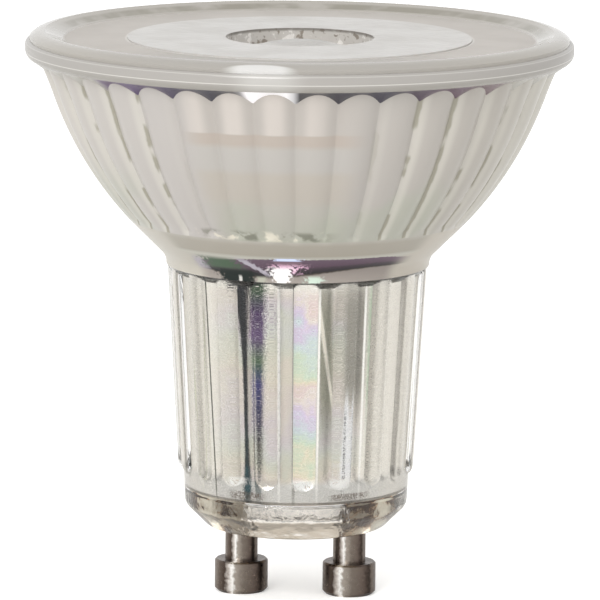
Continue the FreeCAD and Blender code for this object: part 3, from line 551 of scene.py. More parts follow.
@dataclass(frozen=True)
class BowlSkin:
    """Fluted bowl as its film shows through: pearly, banded in front by painted reflection, with
    painted light on a flank beside each valley and painted shade in the valleys at the sides.
    """

    place: NodeTree
    flutes: int
    low: float
    high: float
    name: str = "bowl_skin"

    def material(self) -> Material:
        """Builds the skin.

        Returns:
            A glossy material with painted light on a flank beside each valley and painted shade in
            the valleys, along the flutes at the sides.
        """
        paint = Paint(self.name, self.place)
        away = abs(paint.angle + 1.0)
        share = (paint.height - self.low) / (self.high - self.low)
        phase = paint.math("FRACT", abs(paint.angle) * (self.flutes / 360) + 0.5)
        valley = abs(phase * 2.0 - 1.0)
        colour = self.bands(paint, away, share, valley)
        green = paint.noise(90.0).fade(0.45, 0.6) * share.fade(0.5, 0.2)
        colour = (green * 0.35).mix(colour, (0.32, 0.36, 0.27))
        sides = away.fade(20.0, 34.0)
        # Painted light on the flank beside each valley, at the sides.
        cream = phase.fade(0.32, 0.12) * sides
        colour = (cream * 0.5).mix(colour, (0.54, 0.52, 0.465))
        # Painted shade in the valleys at the sides, ragged and broken by noise.
        ragged = paint.noise(700.0) * 0.2 + valley
        broken = paint.noise(210.0).fade(0.49, 0.55)
        valley_shade = ragged.fade(0.9, 1.0) * broken * sides
        colour = (valley_shade * 0.8).mix(colour, (0.24, 0.225, 0.17))
        return paint.done({"Base Color": self.toes(paint, colour), "Roughness": 0.3})

    def bands(self, paint: Paint, away: Wire, share: Wire, valley: Wire) -> Wire:
        """Colour without its marks: painted reflection bands of tan and blue in front, with a
        painted highlight on the flutes' crests in the top band, and grey at the sides that is paler
        further round as painted light.

        Args:
            paint: material of the skin.
            away: angle from the front.
            share: height from the toes, 0, to the bead, 1.
            valley: 0 on a flute's crest and 1 in the valley.

        Returns:
            The colour.
        """
        # Painted reflection bands in front, by height.
        bands = share.ramp(
            (0.0, (0.34, 0.325, 0.285)), (0.05, (0.378, 0.361, 0.322)),
            (0.24, (0.378, 0.36, 0.322)), (0.29, (0.385, 0.352, 0.31)),
            (0.45, (0.385, 0.352, 0.31)), (0.49, (0.39, 0.37, 0.345)),
            (0.62, (0.39, 0.37, 0.345)), (0.655, (0.378, 0.33, 0.288)),
            (0.712, (0.378, 0.33, 0.288)), (0.722, (0.39, 0.362, 0.335)), (1.0, (0.39, 0.36, 0.33)))
        # Painted highlight on the crests of the top band, near the front.
        facet_highlight = share.fade(0.712, 0.722) * valley.fade(0.75, 0.2) * paint.angle.fade(17.0, 5.0)
        bands = facet_highlight.mix(bands, (0.48, 0.44, 0.405))
        # Painted light: grey that is paler further round the sides.
        plain = paint.turn().ramp(
            (0.27, (0.52, 0.49, 0.45)), (0.33, (0.43, 0.405, 0.375)), (0.42, (0.405, 0.38, 0.36)),
            (0.56, (0.375, 0.35, 0.325)), (0.66, (0.375, 0.35, 0.315)), (0.72, (0.46, 0.44, 0.395)),
            (0.78, (0.48, 0.465, 0.41)))
        return away.fade(24.0, 15.0).mix(plain, bands)

    def toes(self, paint: Paint, colour: Wire) -> Wire:
        """Adds flecks at the flutes' feet in front: dark ones as painted shade, golden ones as
        painted glints.

        Args:
            paint: material of the skin.
            colour: colour under the flecks.

        Returns:
            The new colour.
        """
        rise = abs(paint.height - (self.low + 0.5))
        here = rise.fade(0.7, 0.2) * abs(paint.angle + 6.0).fade(26.0, 16.0)
        flecks = paint.noise(620.0, 5.0)
        # Painted shade in the dark flecks and painted glints in the golden ones.
        dark = flecks.fade(0.5, 0.38) * here * 0.8
        glint_flecks = flecks.fade(0.55, 0.64) * here * 0.7
        return glint_flecks.mix(dark.mix(colour, (0.13, 0.13, 0.095)), (0.68, 0.63, 0.52))


@dataclass(frozen=True)
class CollarSkin:
    """Collar and shelf as their film shows through: cream, paler at the sides, with a band of
    painted dark reflection in front in the film's oily tints, and a painted hot spot.
    """

    place: NodeTree
    streak: NodeTree
    low: float
    high: float
    name: str = "collar_skin"
    # Streaks in and round the painted dark reflection, with a painted glint and a painted hot spot.
    streaks: tuple[Streak, ...] = (
        Streak(-37.5, 0.0, 3.5, 2.5, (0.37, 0.34, 0.38), 31.7, 32.8, soft=0.6),
        Streak(-26.5, 0.0, 8.0, 8.0, (0.06, 0.1, 0.06), 31.9, 33.0, soft=0.5),
        Streak(-7.0, -10.0, 1.4, 2.2, (0.4, 0.37, 0.42), 31.5, 33.05, soft=0.4),
        # Painted blue-white glint along the top of the band.
        Streak(1.8, 0.0, 4.8, 4.8, (0.62, 0.7, 0.95), 33.02, 33.3, soft=0.35),
        Streak(1.5, 0.0, 5.0, 4.5, (0.2, 0.13, 0.16), 32.5, 33.0, soft=0.5),
        Streak(-20.0, -2.0, 8.0, 9.0, (0.015, 0.02, 0.018), 30.4, 31.9, ragged=0.3, soft=0.3),
        Streak(-19.6, 0.0, 0.7, 0.7, (0.5, 0.49, 0.46), 30.5, 31.3, ragged=0.2, soft=0.4),
        Streak(-10.0, 0.0, 2.2, 2.2, (0.36, 0.36, 0.3), 30.5, 31.3, ragged=0.4, soft=0.4),
        # Painted hot spot, white with a pink fringe.
        Streak(1.3, 0.0, 4.0, 5.5, (0.75, 0.47, 0.62), 31.7, 32.6, 1.0, 0.7, 0.5, 0.75),
        Streak(-1.3, 0.0, 1.6, 4.8, (0.97, 0.95, 0.94), 30.7, 32.25, 0.6, 0.35, 0.35),
        Streak(12.5, 0.0, 3.0, 3.0, (0.52, 0.62, 0.53), 30.7, 31.4, ragged=0.6, soft=0.5),
    )

    def material(self) -> Material:
        """Builds the skin.

        Returns:
            A dull material whose band of painted dark reflection has its foot and its top at
            heights that shift with the angle, under streaks and one painted hot spot.
        """
        paint = Paint(self.name, self.place)
        angle, height = paint.angle, paint.height
        grain = paint.noise(3500.0, 3.0).fade(0.3, 0.7)
        upright = (height - self.low) / (self.high - self.low)
        # Darker in front, paler at the sides: painted reflection.
        front = upright.ramp(
            (0.0, (0.29, 0.26, 0.235)), (0.3, (0.25, 0.22, 0.2)), (0.58, (0.44, 0.43, 0.38)),
            (0.65, (0.33, 0.305, 0.26)), (0.9, (0.345, 0.32, 0.275)), (1.0, (0.39, 0.37, 0.33)))
        sides = paint.turn().ramp(
            (0.3, (0.5, 0.475, 0.42)), (0.4, (0.42, 0.395, 0.345)), (0.6, (0.42, 0.39, 0.335)),
            (0.7, (0.46, 0.425, 0.37)), (0.8, (0.52, 0.5, 0.45)))
        beyond = abs(angle - 5.0) - (upright.fade(0.5, 0.6) * 7.0 + 39.0)
        foot = angle.fade(-12.0, 40.0) * 0.95 + angle.fade(-22.0, -36.0) * 0.4 + (self.low + 0.4)
        top = angle.fade(-5.0, -40.0) * -0.6 + angle.fade(38.0, 55.0) * -0.3 + (self.low + 2.4)
        share = (height - foot) / (top - foot) + grain * 0.04
        # Colours of the painted dark reflection, from its foot to its top.
        dark = share.ramp(
            (0.0, (0.08, 0.065, 0.05)), (0.15, (0.03, 0.027, 0.03)), (0.4, (0.06, 0.045, 0.055)),
            (0.55, (0.1, 0.065, 0.09)), (1.0, (0.13, 0.09, 0.12)))
        band = (share.fade(-0.06, 0.08) * share.fade(1.06, 0.97)
                * angle.fade(-40.0, -34.0) * angle.fade(58.0, 44.0))
        colour = band.mix(beyond.fade(9.0, 0.0).mix(sides, front), dark)
        for streak in self.streaks:
            colour = streak.lay(paint, self.streak, grain, colour)
        return paint.done({"Base Color": colour, "Roughness": 0.3, "Specular IOR Level": 0.15})


@dataclass(frozen=True)
class BeadSkin:
    """Dull skin of the bead: beige grey, with two fine painted highlight lines, a soft painted
    sheen in front, and painted shade below its lower line.
    """

    place: NodeTree
    low_line: float
    high_line: float
    name: str = "bead_skin"

    def material(self) -> Material:
        """Builds the skin.

        Returns:
            A glossy material, with painted shade below its lower line.
        """
        paint = Paint(self.name, self.place)
        # Painted shade below the lower line, on the bead's underside.
        below = paint.height.fade(self.low_line, self.low_line - 0.3)
        # Painted sheen in front.
        sheen = abs(paint.angle + 1.0).fade(9.0, 2.0) * 0.3
        colour = below.mix((0.315, 0.3, 0.28), (0.285, 0.27, 0.245))
        colour = sheen.mix(colour, (0.62, 0.61, 0.59))
        # Painted highlight lines at the foot of the land and on the lip.
        for line, strength in ((self.low_line, 0.75), (self.high_line, 0.3)):
            bright = abs(paint.height - line).fade(0.05, 0.015) * strength
            colour = bright.mix(colour, (0.6, 0.58, 0.54))
        return paint.done({"Base Color": colour, "Roughness": 0.25})


@dataclass(frozen=True)
class LensPlastic:
    """Moulded optical plastic: dull ring and ridge, frosted optic zone, well and dome."""

    place: NodeTree
    frost_radius: float = 15.7
    well_radius: float = 6.75
    dome_radius: float = 5.3
    ridge_radius: float = 23.2
    zone_height: float = 51.55
    name: str = "lens_plastic"

    def material(self) -> Material:
        """Builds the plastic.

        Returns:
            A translucent material: paler and rougher inside the frosted zone, pebbled over the
            dome, with painted shade on the far walls of the well and of the ridge, a painted
            highlight on the ridge's front, painted light on the zone's step, and paler away from
            the front as painted reflection.
        """
        paint = Paint(self.name, self.place)
        radius, angle, ridge = paint.radius, paint.angle, self.ridge_radius
        behind = paint.math("COSINE", paint.math("RADIANS", angle)).fade(0.1, -0.35)
        front = abs(angle).fade(60.0, 20.0)
        frosted = radius.fade(self.frost_radius + 0.06, self.frost_radius - 0.06)
        middle = radius.fade(self.dome_radius * 0.62, self.dome_radius * 0.4)
        raised = radius.fade(ridge - 1.9, ridge - 1.5)
        clouds = paint.noise(260.0, 3.0)
        pebbles = paint.add("TexVoronoi", {"Vector": paint.spot, "Scale": 1400.0}, "Distance")
        ring = clouds.fade(0.35, 0.65).mix((0.53, 0.49, 0.445), (0.57, 0.53, 0.485))
        # Painted reflection: the ring is paler away from the front.
        ring = front.mix(ring, (0.46, 0.435, 0.4))
        # Painted light on the step at the frosted zone's edge, to lift its shade.
        step = abs(radius - self.frost_radius).fade(0.3, 0.1)
        ring = step.mix(ring, (0.72, 0.69, 0.65))
        # Painted reflection on the ridge: paler away from the front.
        ring = raised.mix(ring, front.mix((0.5, 0.47, 0.42), (0.46, 0.435, 0.395)))
        zone = clouds.fade(0.3, 0.7).mix((0.63, 0.61, 0.58), (0.72, 0.705, 0.68))
        zone = (middle * 0.5).mix(zone, (0.44, 0.42, 0.4))
        colour = frosted.mix(ring, zone)
        wall = (radius.fade(self.dome_radius + 0.5, self.dome_radius + 0.9)
                * radius.fade(self.well_radius + 0.12, self.well_radius + 0.02))
        # Painted shade on the well's far wall.
        colour = (wall * behind * 0.85).mix(colour, (0.64, 0.61, 0.57))
        specks = paint.noise(1300.0, 4.0)
        colour = (wall * specks.fade(0.56, 0.64)).mix(colour, (0.93, 0.9, 0.86))
        colour = (wall * specks.fade(0.42, 0.36)).mix(colour, (0.3, 0.26, 0.22))
        # Painted shade along the top of the well's far wall.
        brink = wall * (self.zone_height - paint.height).fade(0.35, 0.1) * behind * 0.8
        colour = brink.mix(colour, (0.16, 0.14, 0.12))
        # Painted highlight on the ridge's front.
        off = abs(angle + 2.6)
        glint = off.fade(8.5, 4.0) * (radius - (off * off * 0.009 + (ridge + 0.62))).fade(0.0, 0.25)
        colour = (glint * 0.85).mix(colour, (0.88, 0.87, 0.85))
        # Painted shade on the ridge's far inner slope, broken by clouds.
        rim = radius.fade(ridge - 1.5, ridge - 1.3) * radius.fade(ridge - 0.3, ridge - 0.7)
        far_slope_shade = rim * behind * clouds.fade(0.3, 0.6) * 0.75
        return paint.done({
            "Base Color": far_slope_shade.mix(colour, (0.27, 0.25, 0.19)), "Roughness": raised * -0.4 + 0.48,
            "Normal": paint.bump(pebbles * (middle * 1.6 + frosted * 0.5), 0.6, 0.1),
            "IOR": 1.49, "Transmission Weight": 0.35})


@dataclass(frozen=True)
class StainedMetal:
    """Bright metal with dark brown stains and small bronze edges to them."""

    name: str
    scale: float = 700.0

    def material(self) -> Material:
        """Builds the metal.

        Returns:
            A metallic material that is coloured by one noise.
        """
        paint = Paint(self.name)
        stains = paint.noise(self.scale, 3.0).ramp(
            (0.34, (0.05, 0.03, 0.02)), (0.45, (0.09, 0.055, 0.035)), (0.46, (0.8, 0.48, 0.24)),
            (0.475, (0.5, 0.46, 0.38)), (0.7, (0.7, 0.67, 0.58)))
        return paint.done({"Base Color": stains, "Roughness": 0.3, "Metallic": 1.0})


@dataclass(frozen=True)
class PinMetal:
    """Turned nickel of a contact pin: painted shade on its sides, one painted highlight streak, and
    a worn and pitted skin.
    """

    axis: float
    name: str

    def material(self) -> Material:
        """Builds the metal.

        Returns:
            A metallic material with painted shade and a painted highlight streak by the angle round
            the pin's own axis.
        """
        paint = Paint(self.name)
        x, y, _ = paint.split(paint.spot)
        turn = paint.math("DEGREES", paint.math("ARCTAN2", x - self.axis * MM, y * -1.0))
        grain = paint.noise(2600.0, 3.0)
        # Painted shade and highlight: the colour follows the angle round the pin's axis, jittered
        # by the grain.
        shade_turn = (grain - 0.5) * 0.05 + (turn / 360.0 + 0.5)
        colour = shade_turn.ramp(
            (0.24, (0.09, 0.065, 0.05)), (0.33, (0.18, 0.145, 0.12)), (0.41, (0.07, 0.05, 0.04)),
            (0.435, (0.5, 0.45, 0.41)), (0.46, (0.97, 0.95, 0.92)), (0.48, (0.36, 0.32, 0.28)),
            (0.53, (0.19, 0.16, 0.135)), (0.6, (0.13, 0.1, 0.085)), (0.65, (0.035, 0.025, 0.02)),
            (0.68, (0.15, 0.12, 0.1)), (0.76, (0.07, 0.05, 0.04)))
        return paint.done({"Base Color": colour, "Roughness": grain * 0.3 + 0.16,
                           "Normal": paint.bump(grain, 0.35, 0.05), "Metallic": 1.0})


# Surfaces


def put(name: str, data: ID) -> Object:
    """Puts a new object into the scene.

    Args:
        name: name of the object.
        data: its mesh, lamp or camera.

    Returns:
        The object.
    """
    made = bpy.data.objects.new(name, data)
    bpy.context.scene.collection.objects.link(made)
    return made


def smooth_mesh(name: str, grid: np.ndarray, sharp_deg: float, faces: np.ndarray) -> Object:
    """Closed surface from a grid of points: the first and last rows shrink to one point each.

    The grid runs down the rows from one pole to the other and across the columns once round
    the axis. Each cell becomes one quad, and each cell beside a pole one triangle.

    Args:
        name: name of the object.
        grid: points in metres, rows x columns x 3.
        sharp_deg: edges that bend more than this stay sharp.
        faces: material slot for each row of cells.

    Returns:
        The new object.
    """
    rows, columns = grid.shape[:2]
    points = np.concatenate([grid[:1, 0], grid[1:-1].reshape(-1, 3), grid[-1:, 0]])
    ring = 1 + np.arange((rows - 2) * columns).reshape(rows - 2, columns)
    beside = np.roll(ring, -1, axis=1)
    quads = np.stack([ring[:-1], beside[:-1], beside[1:], ring[1:]], axis=-1).reshape(-1, 4)
    low = np.stack([np.zeros(columns, int), beside[0], ring[0]], axis=-1)
    high = np.stack([ring[-1], beside[-1], np.full(columns, len(points) - 1)], axis=-1)
    mesh = bpy.data.meshes.new(name)
    cells = [*low.tolist(), *quads.tolist(), *high.tolist()]
    mesh.from_pydata(points, [], cells, shade_flat=False)
    mesh.polygons.foreach_set("material_index", np.repeat(faces, columns).astype(np.int32))
    mesh.validate()
    mesh.set_sharp_from_angle(angle=math.radians(sharp_deg))
    return put(name, mesh)


def line(start: tuple, end: tuple, count: int) -> np.ndarray:
    """Points on a straight line from start up to, but without, end."""
    share = np.arange(count)[:, None] / count
    return np.array(start) * (1 - share) + np.array(end) * share


def arc(start: tuple, end: tuple, radius: float, count: int) -> np.ndarray:
    """Points on the shorter arc between two points, without the last one.

    The centre lies on the chord's bisector, to the left of the way for a radius above 0.

    Args:
        start: first point, radius and height.
        end: last point.
        radius: radius of the arc, with the side as its sign.
        count: number of points.

    Returns:
        The points.
    """
    first, last = np.array(start, float), np.array(end, float)
    chord = last - first
    length = np.hypot(*chord)
    left = np.array([-chord[1], chord[0]]) / length
    reach = math.sqrt(radius**2 - (length / 2) ** 2)
    centre = (first + last) / 2 + left * math.copysign(reach, radius)
    begin = math.atan2(*(first - centre)[::-1])
    sweep = 2 * math.asin(length / 2 / abs(radius)) * math.copysign(1, radius)
    turn = begin + sweep * np.arange(count) / count
    return centre + abs(radius) * np.stack([np.cos(turn), np.sin(turn)], axis=-1)


def trace(*corners: tuple) -> np.ndarray:
    """Points on a profile of straight runs and arcs, without its last corner.

    Args:
        corners: each a point, the count of points up to the next corner, and for an arc there
            its radius.

    Returns:
        The points.
    """
    runs = []
    for (start, count, *bend), (end, *_) in zip(corners, corners[1:]):
        runs.append(arc(start, end, *bend, count) if bend else line(start, end, count))
    return np.concatenate(runs)


@dataclass
class PressedGlass:
    """Glass of the lamp: foot, ribbed neck, collar, fluted bowl and beaded rim, in one shell.

    A rounded edge is given as how far before and after its corner it begins and ends, and the
    radius of its arc.
    """

    foot: float
    rim_radius: float
    mouth: float
    foot_radius: float = 10.2
    foot_bevel: float = 2.0
    foot_edge: tuple[float, float, float] = (0.3, 0.21, 0.8)
    bevel_edge: tuple[float, float, float] = (0.25, 0.35, 0.9)
    floor_rise: float = 3.4
    floor_chamfer: tuple[float, float] = (0.4, 0.3)
    collar_rise: float = 24.3
    shoulder_rise: float = 0.7
    neck_radius: float = 11.45
    neck_wall: float = 1.7
    collar_radius: float = 12.05
    collar_fillet: float = 1.7
    collar_bore: float = 10.6
    shelf_width: float = 3.05
    bowl_radius: float = 23.2
    bowl_curve: float = 33.4
    bowl_depth: float = 13.55
    bowl_inset: float = 2.2
    flute_count: int = 38
    flute_depth: float = 0.62
    flute_toe: float = 0.55
    flute_ease: float = 0.55
    flare_start: float = 46.6
    flare_reach: float = 0.35
    valley_edge: float = 0.93
    valley_bend: float = 13.29
    rib_count: int = 19
    rib_width: float = 2.1
    rib_height: float = 0.45
    rib_foot: float = 12.55
    rib_clear: float = 1.0
    bead_foot_inset: float = 0.5
    bead_curve: float = 0.85
    land: float = 0.55
    bead_round: float = 0.68
    lip: float = 0.4
    arch_low: float = 48.4
    arch_high: float = 49.4
    arch_rows: int = 16
    under_rows: int = 6
    mouth_wall: float = 3.3
    mouth_depth: float = 2.6
    sharp_deg: float = 32.0
    across_flute: tuple[float, ...] = (-1, -0.965, -0.93, -0.82, -0.68, -0.52, -0.35, -0.18,
                                       0, 0.18, 0.35, 0.52, 0.68, 0.82, 0.93, 0.965)

    def levels(self) -> dict[str, float]:
        """Works out where the glass's main edges are.

        Returns:
            Heights by name, worked out from the foot up or from the mouth down.
        """
        collar = self.foot + self.collar_rise
        shelf = collar + self.collar_fillet * math.sin(math.radians(45))
        floor = self.foot + self.floor_rise
        return {
            "floor": floor, "ribs": floor + self.rib_clear, "collar": collar, "shelf": shelf,
            "shoulder": collar + self.shoulder_rise, "bowl": shelf + self.shelf_width,
            "bead": self.mouth - self.lip - self.land - self.bead_round,
            "mouth_floor": self.mouth - self.mouth_depth}

    def crest(self, height: np.ndarray, inset: float = 0.0) -> np.ndarray:
        """Radius of the bowl's meridian arc at a height: centre plus the arc's own reach.

        Args:
            height: heights of the points.
            inset: how far the arc is moved inwards.

        Returns:
            Radii at the heights.
        """
        bowl = self.levels()["bowl"]
        low = np.array([self.shelf_radius, bowl])
        high = np.array([self.bowl_radius, bowl + self.bowl_depth])
        chord = high - low
        reach = math.sqrt(self.bowl_curve**2 - (np.hypot(*chord) / 2) ** 2)
        centre = (low + high) / 2 + np.array([-chord[1], chord[0]]) / np.hypot(*chord) * reach
        return centre[0] + np.sqrt((self.bowl_curve - inset) ** 2 - (height - centre[1]) ** 2)

    @property
    def shelf_radius(self) -> float:
        """Outside of the plain 45 degree shelf, where the flutes begin."""
        ease = self.collar_fillet * (1 - math.cos(math.radians(45)))
        return self.collar_radius + ease + self.shelf_width

    @property
    def neck_top(self) -> float:
        """Height at which the neck's cone gives way to the step up to the collar."""
        return self.levels()["collar"] - (self.collar_radius - self.neck_radius)

    def cone(self, height: np.ndarray | float) -> np.ndarray | float:
        """Radius of the neck without ribs: in proportion to the height over the bevel.

        Args:
            height: heights, or one height.

        Returns:
            Radii, or one radius.
        """
        base = self.foot + self.foot_bevel
        lean = (self.neck_radius - self.foot_radius) / (self.neck_top - base)
        return self.foot_radius + lean * (height - base)

    def outside(self) -> tuple[np.ndarray, np.ndarray]:
        """Meridian of the outside without ribs and flutes, and where the flutes are.

        Returns:
            Points as radius and height, and a mask of the rows in the fluted bowl.
        """
        at = self.levels()
        flat, base = self.foot_radius - self.foot_bevel, self.foot + self.foot_bevel
        before, after, foot_arc = self.foot_edge
        below, above, bevel_arc = self.bevel_edge
        rib_top = self.rib_foot + 0.3
        stem = trace(
            ((0, self.foot), 4),
            ((flat - before, self.foot), 4, foot_arc),
            ((flat + after, self.foot + after), 4),
            ((self.foot_radius - below, base - below), 5, bevel_arc),
            ((self.cone(base + above), base + above), 2),
            ((self.cone(at["ribs"]), at["ribs"]), 14),
            ((self.cone(rib_top), rib_top), 6),
            ((self.neck_radius, self.neck_top), 4),
            ((self.collar_radius, at["collar"]), 8, -self.collar_fillet),
            ((self.shelf_radius - self.shelf_width, at["shelf"]), 6),
            ((self.shelf_radius, at["bowl"]),))
        toe = at["bowl"] + self.flute_toe
        heights = np.concatenate([
            np.linspace(at["bowl"], toe, 4, endpoint=False),
            np.linspace(toe, self.flare_start, 18, endpoint=False),
            np.linspace(self.flare_start, at["bead"], self.arch_rows + self.under_rows,
                        endpoint=False)])
        bowl = np.stack([self.crest(heights), heights], axis=-1)
        land = at["bead"] + self.bead_round
        rim = trace(
            ((self.rim_radius - self.bead_foot_inset, at["bead"]), 5, self.bead_curve),
            ((self.rim_radius, land), 2),
            ((self.rim_radius, land + self.land), 5, self.lip),
            ((self.rim_radius - self.lip, self.mouth), 2),
            ((self.rim_radius - self.mouth_wall, self.mouth),))
        fluted = np.repeat([False, True, False], [len(stem), len(bowl), len(rim)])
        return np.concatenate([stem, bowl, rim]), fluted

    def inside(self) -> np.ndarray:
        """Meridian of the mouth bore, the inner bowl and the cavity, down to the axis.

        Returns:
            Points as radius and height.
        """
        at = self.levels()
        mouth = self.rim_radius - self.mouth_wall
        heights = np.linspace(at["mouth_floor"], at["bowl"], 24, endpoint=False)
        bowl = self.crest(heights, self.bowl_inset)
        neck_foot = self.foot_radius - self.neck_wall
        out, up = self.floor_chamfer
        bore = trace(
            ((mouth, self.mouth), 2),
            ((mouth, at["mouth_floor"]), 2),
            ((bowl[0], at["mouth_floor"]),))
        cavity = trace(
            ((self.crest(at["bowl"], self.bowl_inset), at["bowl"]), 2),
            ((self.collar_bore, at["bowl"]), 3),
            ((self.collar_bore, at["shoulder"]), 2),
            ((self.neck_radius - self.neck_wall, at["shoulder"]), 4),
            ((neck_foot + out, at["floor"] + up), 2),
            ((neck_foot, at["floor"]), 3),
            ((0, at["floor"]),))
        return np.concatenate([bore, np.stack([bowl, heights], axis=-1), cavity,
                               [[0.0, at["floor"]]]])

    def fluted_radius(self, height: np.ndarray, across: np.ndarray) -> np.ndarray:
        """Radius of the fluted bowl.

        Each flute is a parabola across: crest in the middle, valley at the edges, with the
        valley rounded. Its depth grows with the radius, runs out over the toe and eases off
        under the bead, where the crest turns a little outwards.

        Args:
            height: heights of the rows, rows x 1.
            across: place across each flute, -1 to 1, 1 x columns.

        Returns:
            Radii, rows x columns.
        """
        at = self.levels()
        crest = self.crest(height)
        shape = self.arched(across)
        toe = np.clip((height - at["bowl"]) / self.flute_toe, 0, 1)
        depth = self.flute_depth * crest / self.bowl_radius * toe
        rise = np.clip((height - self.flare_start) / (at["bead"] - self.flare_start), 0, 1)
        depth = depth * (1 - self.flute_ease * rise)
        return crest - depth * (1 - shape) + self.flare_reach * rise**2 * shape

    def arched(self, across: np.ndarray) -> np.ndarray:
        """Arch across a flute.

        It is one less the square of the place. Past the valley's edge it goes on from the
        arch's own height and slope there, and the square of the way past it rounds it off.

        Args:
            across: place across each flute, -1 to 1.

        Returns:
            Height of the arch, 1 on the crest.
        """
        edge = self.valley_edge
        past = np.abs(across) - edge
        rounded = (1 - edge**2) - 2 * edge * past + self.valley_bend * past**2
        return np.where(past < 0, 1 - across**2, rounded)

    def ribbed_radius(self, radius: np.ndarray, height: np.ndarray, turn: np.ndarray) -> np.ndarray:
        """Radius of the neck with its flat-backed ribs.

        Each rib has a flat back, steep flanks and a round foot: its height over the neck is its
        full height times one less the fourth power of d, where d is the distance from the
        rib's centre line, or from the centre of its foot, in half widths. Its width is an
        angle, so that it grows a little with the neck's radius.

        Args:
            radius: radii of the plain rows, rows x 1.
            height: heights of the rows, rows x 1.
            turn: angle from the front, 1 x columns, in radians.

        Returns:
            Radii, rows x columns.
        """
        at = self.levels()
        period = 2 * math.pi / self.rib_count
        offset = (np.mod(turn, period) - period / 2) * (self.foot_radius + self.neck_radius) / 2
        below = np.maximum(self.rib_foot - height, 0)
        away = (offset**2 + below**2) / (self.rib_width / 2) ** 2
        proud = self.rib_height * np.maximum(1 - away**2, 0)
        within = (height > at["ribs"]) & (height < at["collar"] + HAIR)
        return np.where(within, np.maximum(radius, self.cone(height) + proud), radius)

    def build(self, finishes: dict[Face, Material]) -> Object:
        """Builds the shell and gives it its finishes.

        Args:
            finishes: clear glass, the film on the inside, the painted reflection under the bead,
                and the skins of the bowl, of the bead and of the collar.

        Returns:
            The glass, which stands for the CAD node.
        """
        at = self.levels()
        outside, fluted = self.outside()
        meridian = np.concatenate([outside, self.inside()])
        radius, height = meridian[:, :1], meridian[:, 1:]
        step = 2 * math.pi / self.flute_count
        across = np.tile(self.across_flute, self.flute_count)[None]
        flute = np.repeat(np.arange(self.flute_count), len(self.across_flute))
        turn = (flute * step + across[0] * step / 2)[None]
        radii = np.repeat(radius, turn.size, axis=1)
        heights = np.repeat(height, turn.size, axis=1)
        count = len(outside)
        radii[:count] = self.ribbed_radius(radius[:count], height[:count], turn)
        rows = np.flatnonzero(fluted)
        arches, under = np.split(rows[-self.arch_rows - self.under_rows:], [self.arch_rows])
        arch = self.arch_low + (self.arch_high - self.arch_low) * self.arched(across)
        share = np.arange(self.arch_rows)[:, None] / self.arch_rows
        heights[arches] = self.flare_start + (arch - self.flare_start) * share
        share = np.arange(self.under_rows)[:, None] / self.under_rows
        heights[under] = arch + (at["bead"] - arch) * share
        radii[rows] = self.fluted_radius(heights[rows], across)
        flute_top = radii[under[0]]
        reach = self.rim_radius - self.bead_foot_inset - flute_top
        radii[under] = flute_top + reach * share
        grid = np.stack([radii * np.sin(turn), -radii * np.cos(turn), heights], axis=-1) * MM
        slots = np.full(len(meridian) - 1, Face.CLEAR.value)
        stem = slots[:rows[0]]
        stem[height[:rows[0], 0] > at["collar"] - HAIR] = Face.COLLAR.value
        slots[rows] = Face.BOWL.value
        slots[under] = Face.EDGE.value
        slots[rows[-1] + 1:count] = Face.BEAD.value
        slots[count:] = Face.FILM.value
        glass = smooth_mesh("pressed_glass", grid, self.sharp_deg, slots)
        for face in Face:
            glass.data.materials.append(finishes[face])
        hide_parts("glass_body")
        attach(glass, "root")
        return glass


@dataclass
class Fittings:
    """Everything that keeps its CAD shape: the lens, the pins, and the parts inside."""

    nodes: dict[str, Object]
    inside: tuple[tuple[str, Finish | StainedMetal], ...] = (
        ("seal_ring", Finish("clear_adhesive", (0.78, 0.77, 0.72), 0.2)),
        ("ferrule_left ferrule_right", StainedMetal("stained_bronze")),
        ("input_lead_left input_lead_right output_lead_left output_lead_right",
         Finish("tinned_wire", (0.72, 0.71, 0.69), 0.3, 1.0)),
        ("heat_spreader", Finish("aluminium", (0.8, 0.8, 0.8), 0.35, 1.0)),
        ("thermal_pad", Finish("thermal_pad", (0.55, 0.56, 0.6), 0.8)),
        ("led_board", Finish("white_board", (0.86, 0.86, 0.84), 0.4)),
        ("led_package", Finish("ceramic", (0.9, 0.89, 0.86), 0.5)),
        ("led_phosphor", Finish("phosphor", (0.9, 0.72, 0.2), 0.6)),
        ("insulating_disc", Finish("moulded_disc", (0.85, 0.84, 0.8), 0.5)),
        ("driver_board", Finish("laminate", (0.08, 0.28, 0.12), 0.35, 0.0, 0.4)),
        ("bulk_capacitor", Finish("sleeve", (0.05, 0.08, 0.22), 0.35, 0.0, 0.3)),
        ("film_capacitor", Finish("film_case", (0.55, 0.18, 0.08), 0.4)),
        ("choke_core", Finish("ferrite", (0.06, 0.06, 0.065), 0.55)),
        ("choke_winding", Finish("enamelled_copper", (0.72, 0.3, 0.12), 0.3, 0.9)),
        ("fusible_resistor", Finish("resistor_lacquer", (0.2, 0.42, 0.5), 0.4)),
        ("bridge_rectifier driver_chip", Finish("black_moulding", (0.03, 0.03, 0.033), 0.5)),
        ("sense_resistors", Finish("chip_glaze", (0.04, 0.04, 0.045), 0.35)),
    )

    def dress(self, material: Material, *names: str) -> None:
        """Puts one material on some nodes.

        Args:
            material: the finish.
            names: names of the CAD nodes.
        """
        for name in names:
            node = self.nodes[name]
            node.data.materials.clear()
            node.data.materials.append(material)
            log.info("%s: %s", name, material.name)

    def dress_inside(self) -> None:
        """Dresses the seal, the ferrules and everything behind the film."""
        for names, finish in self.inside:
            self.dress(finish.material(), *names.split())


# Stage


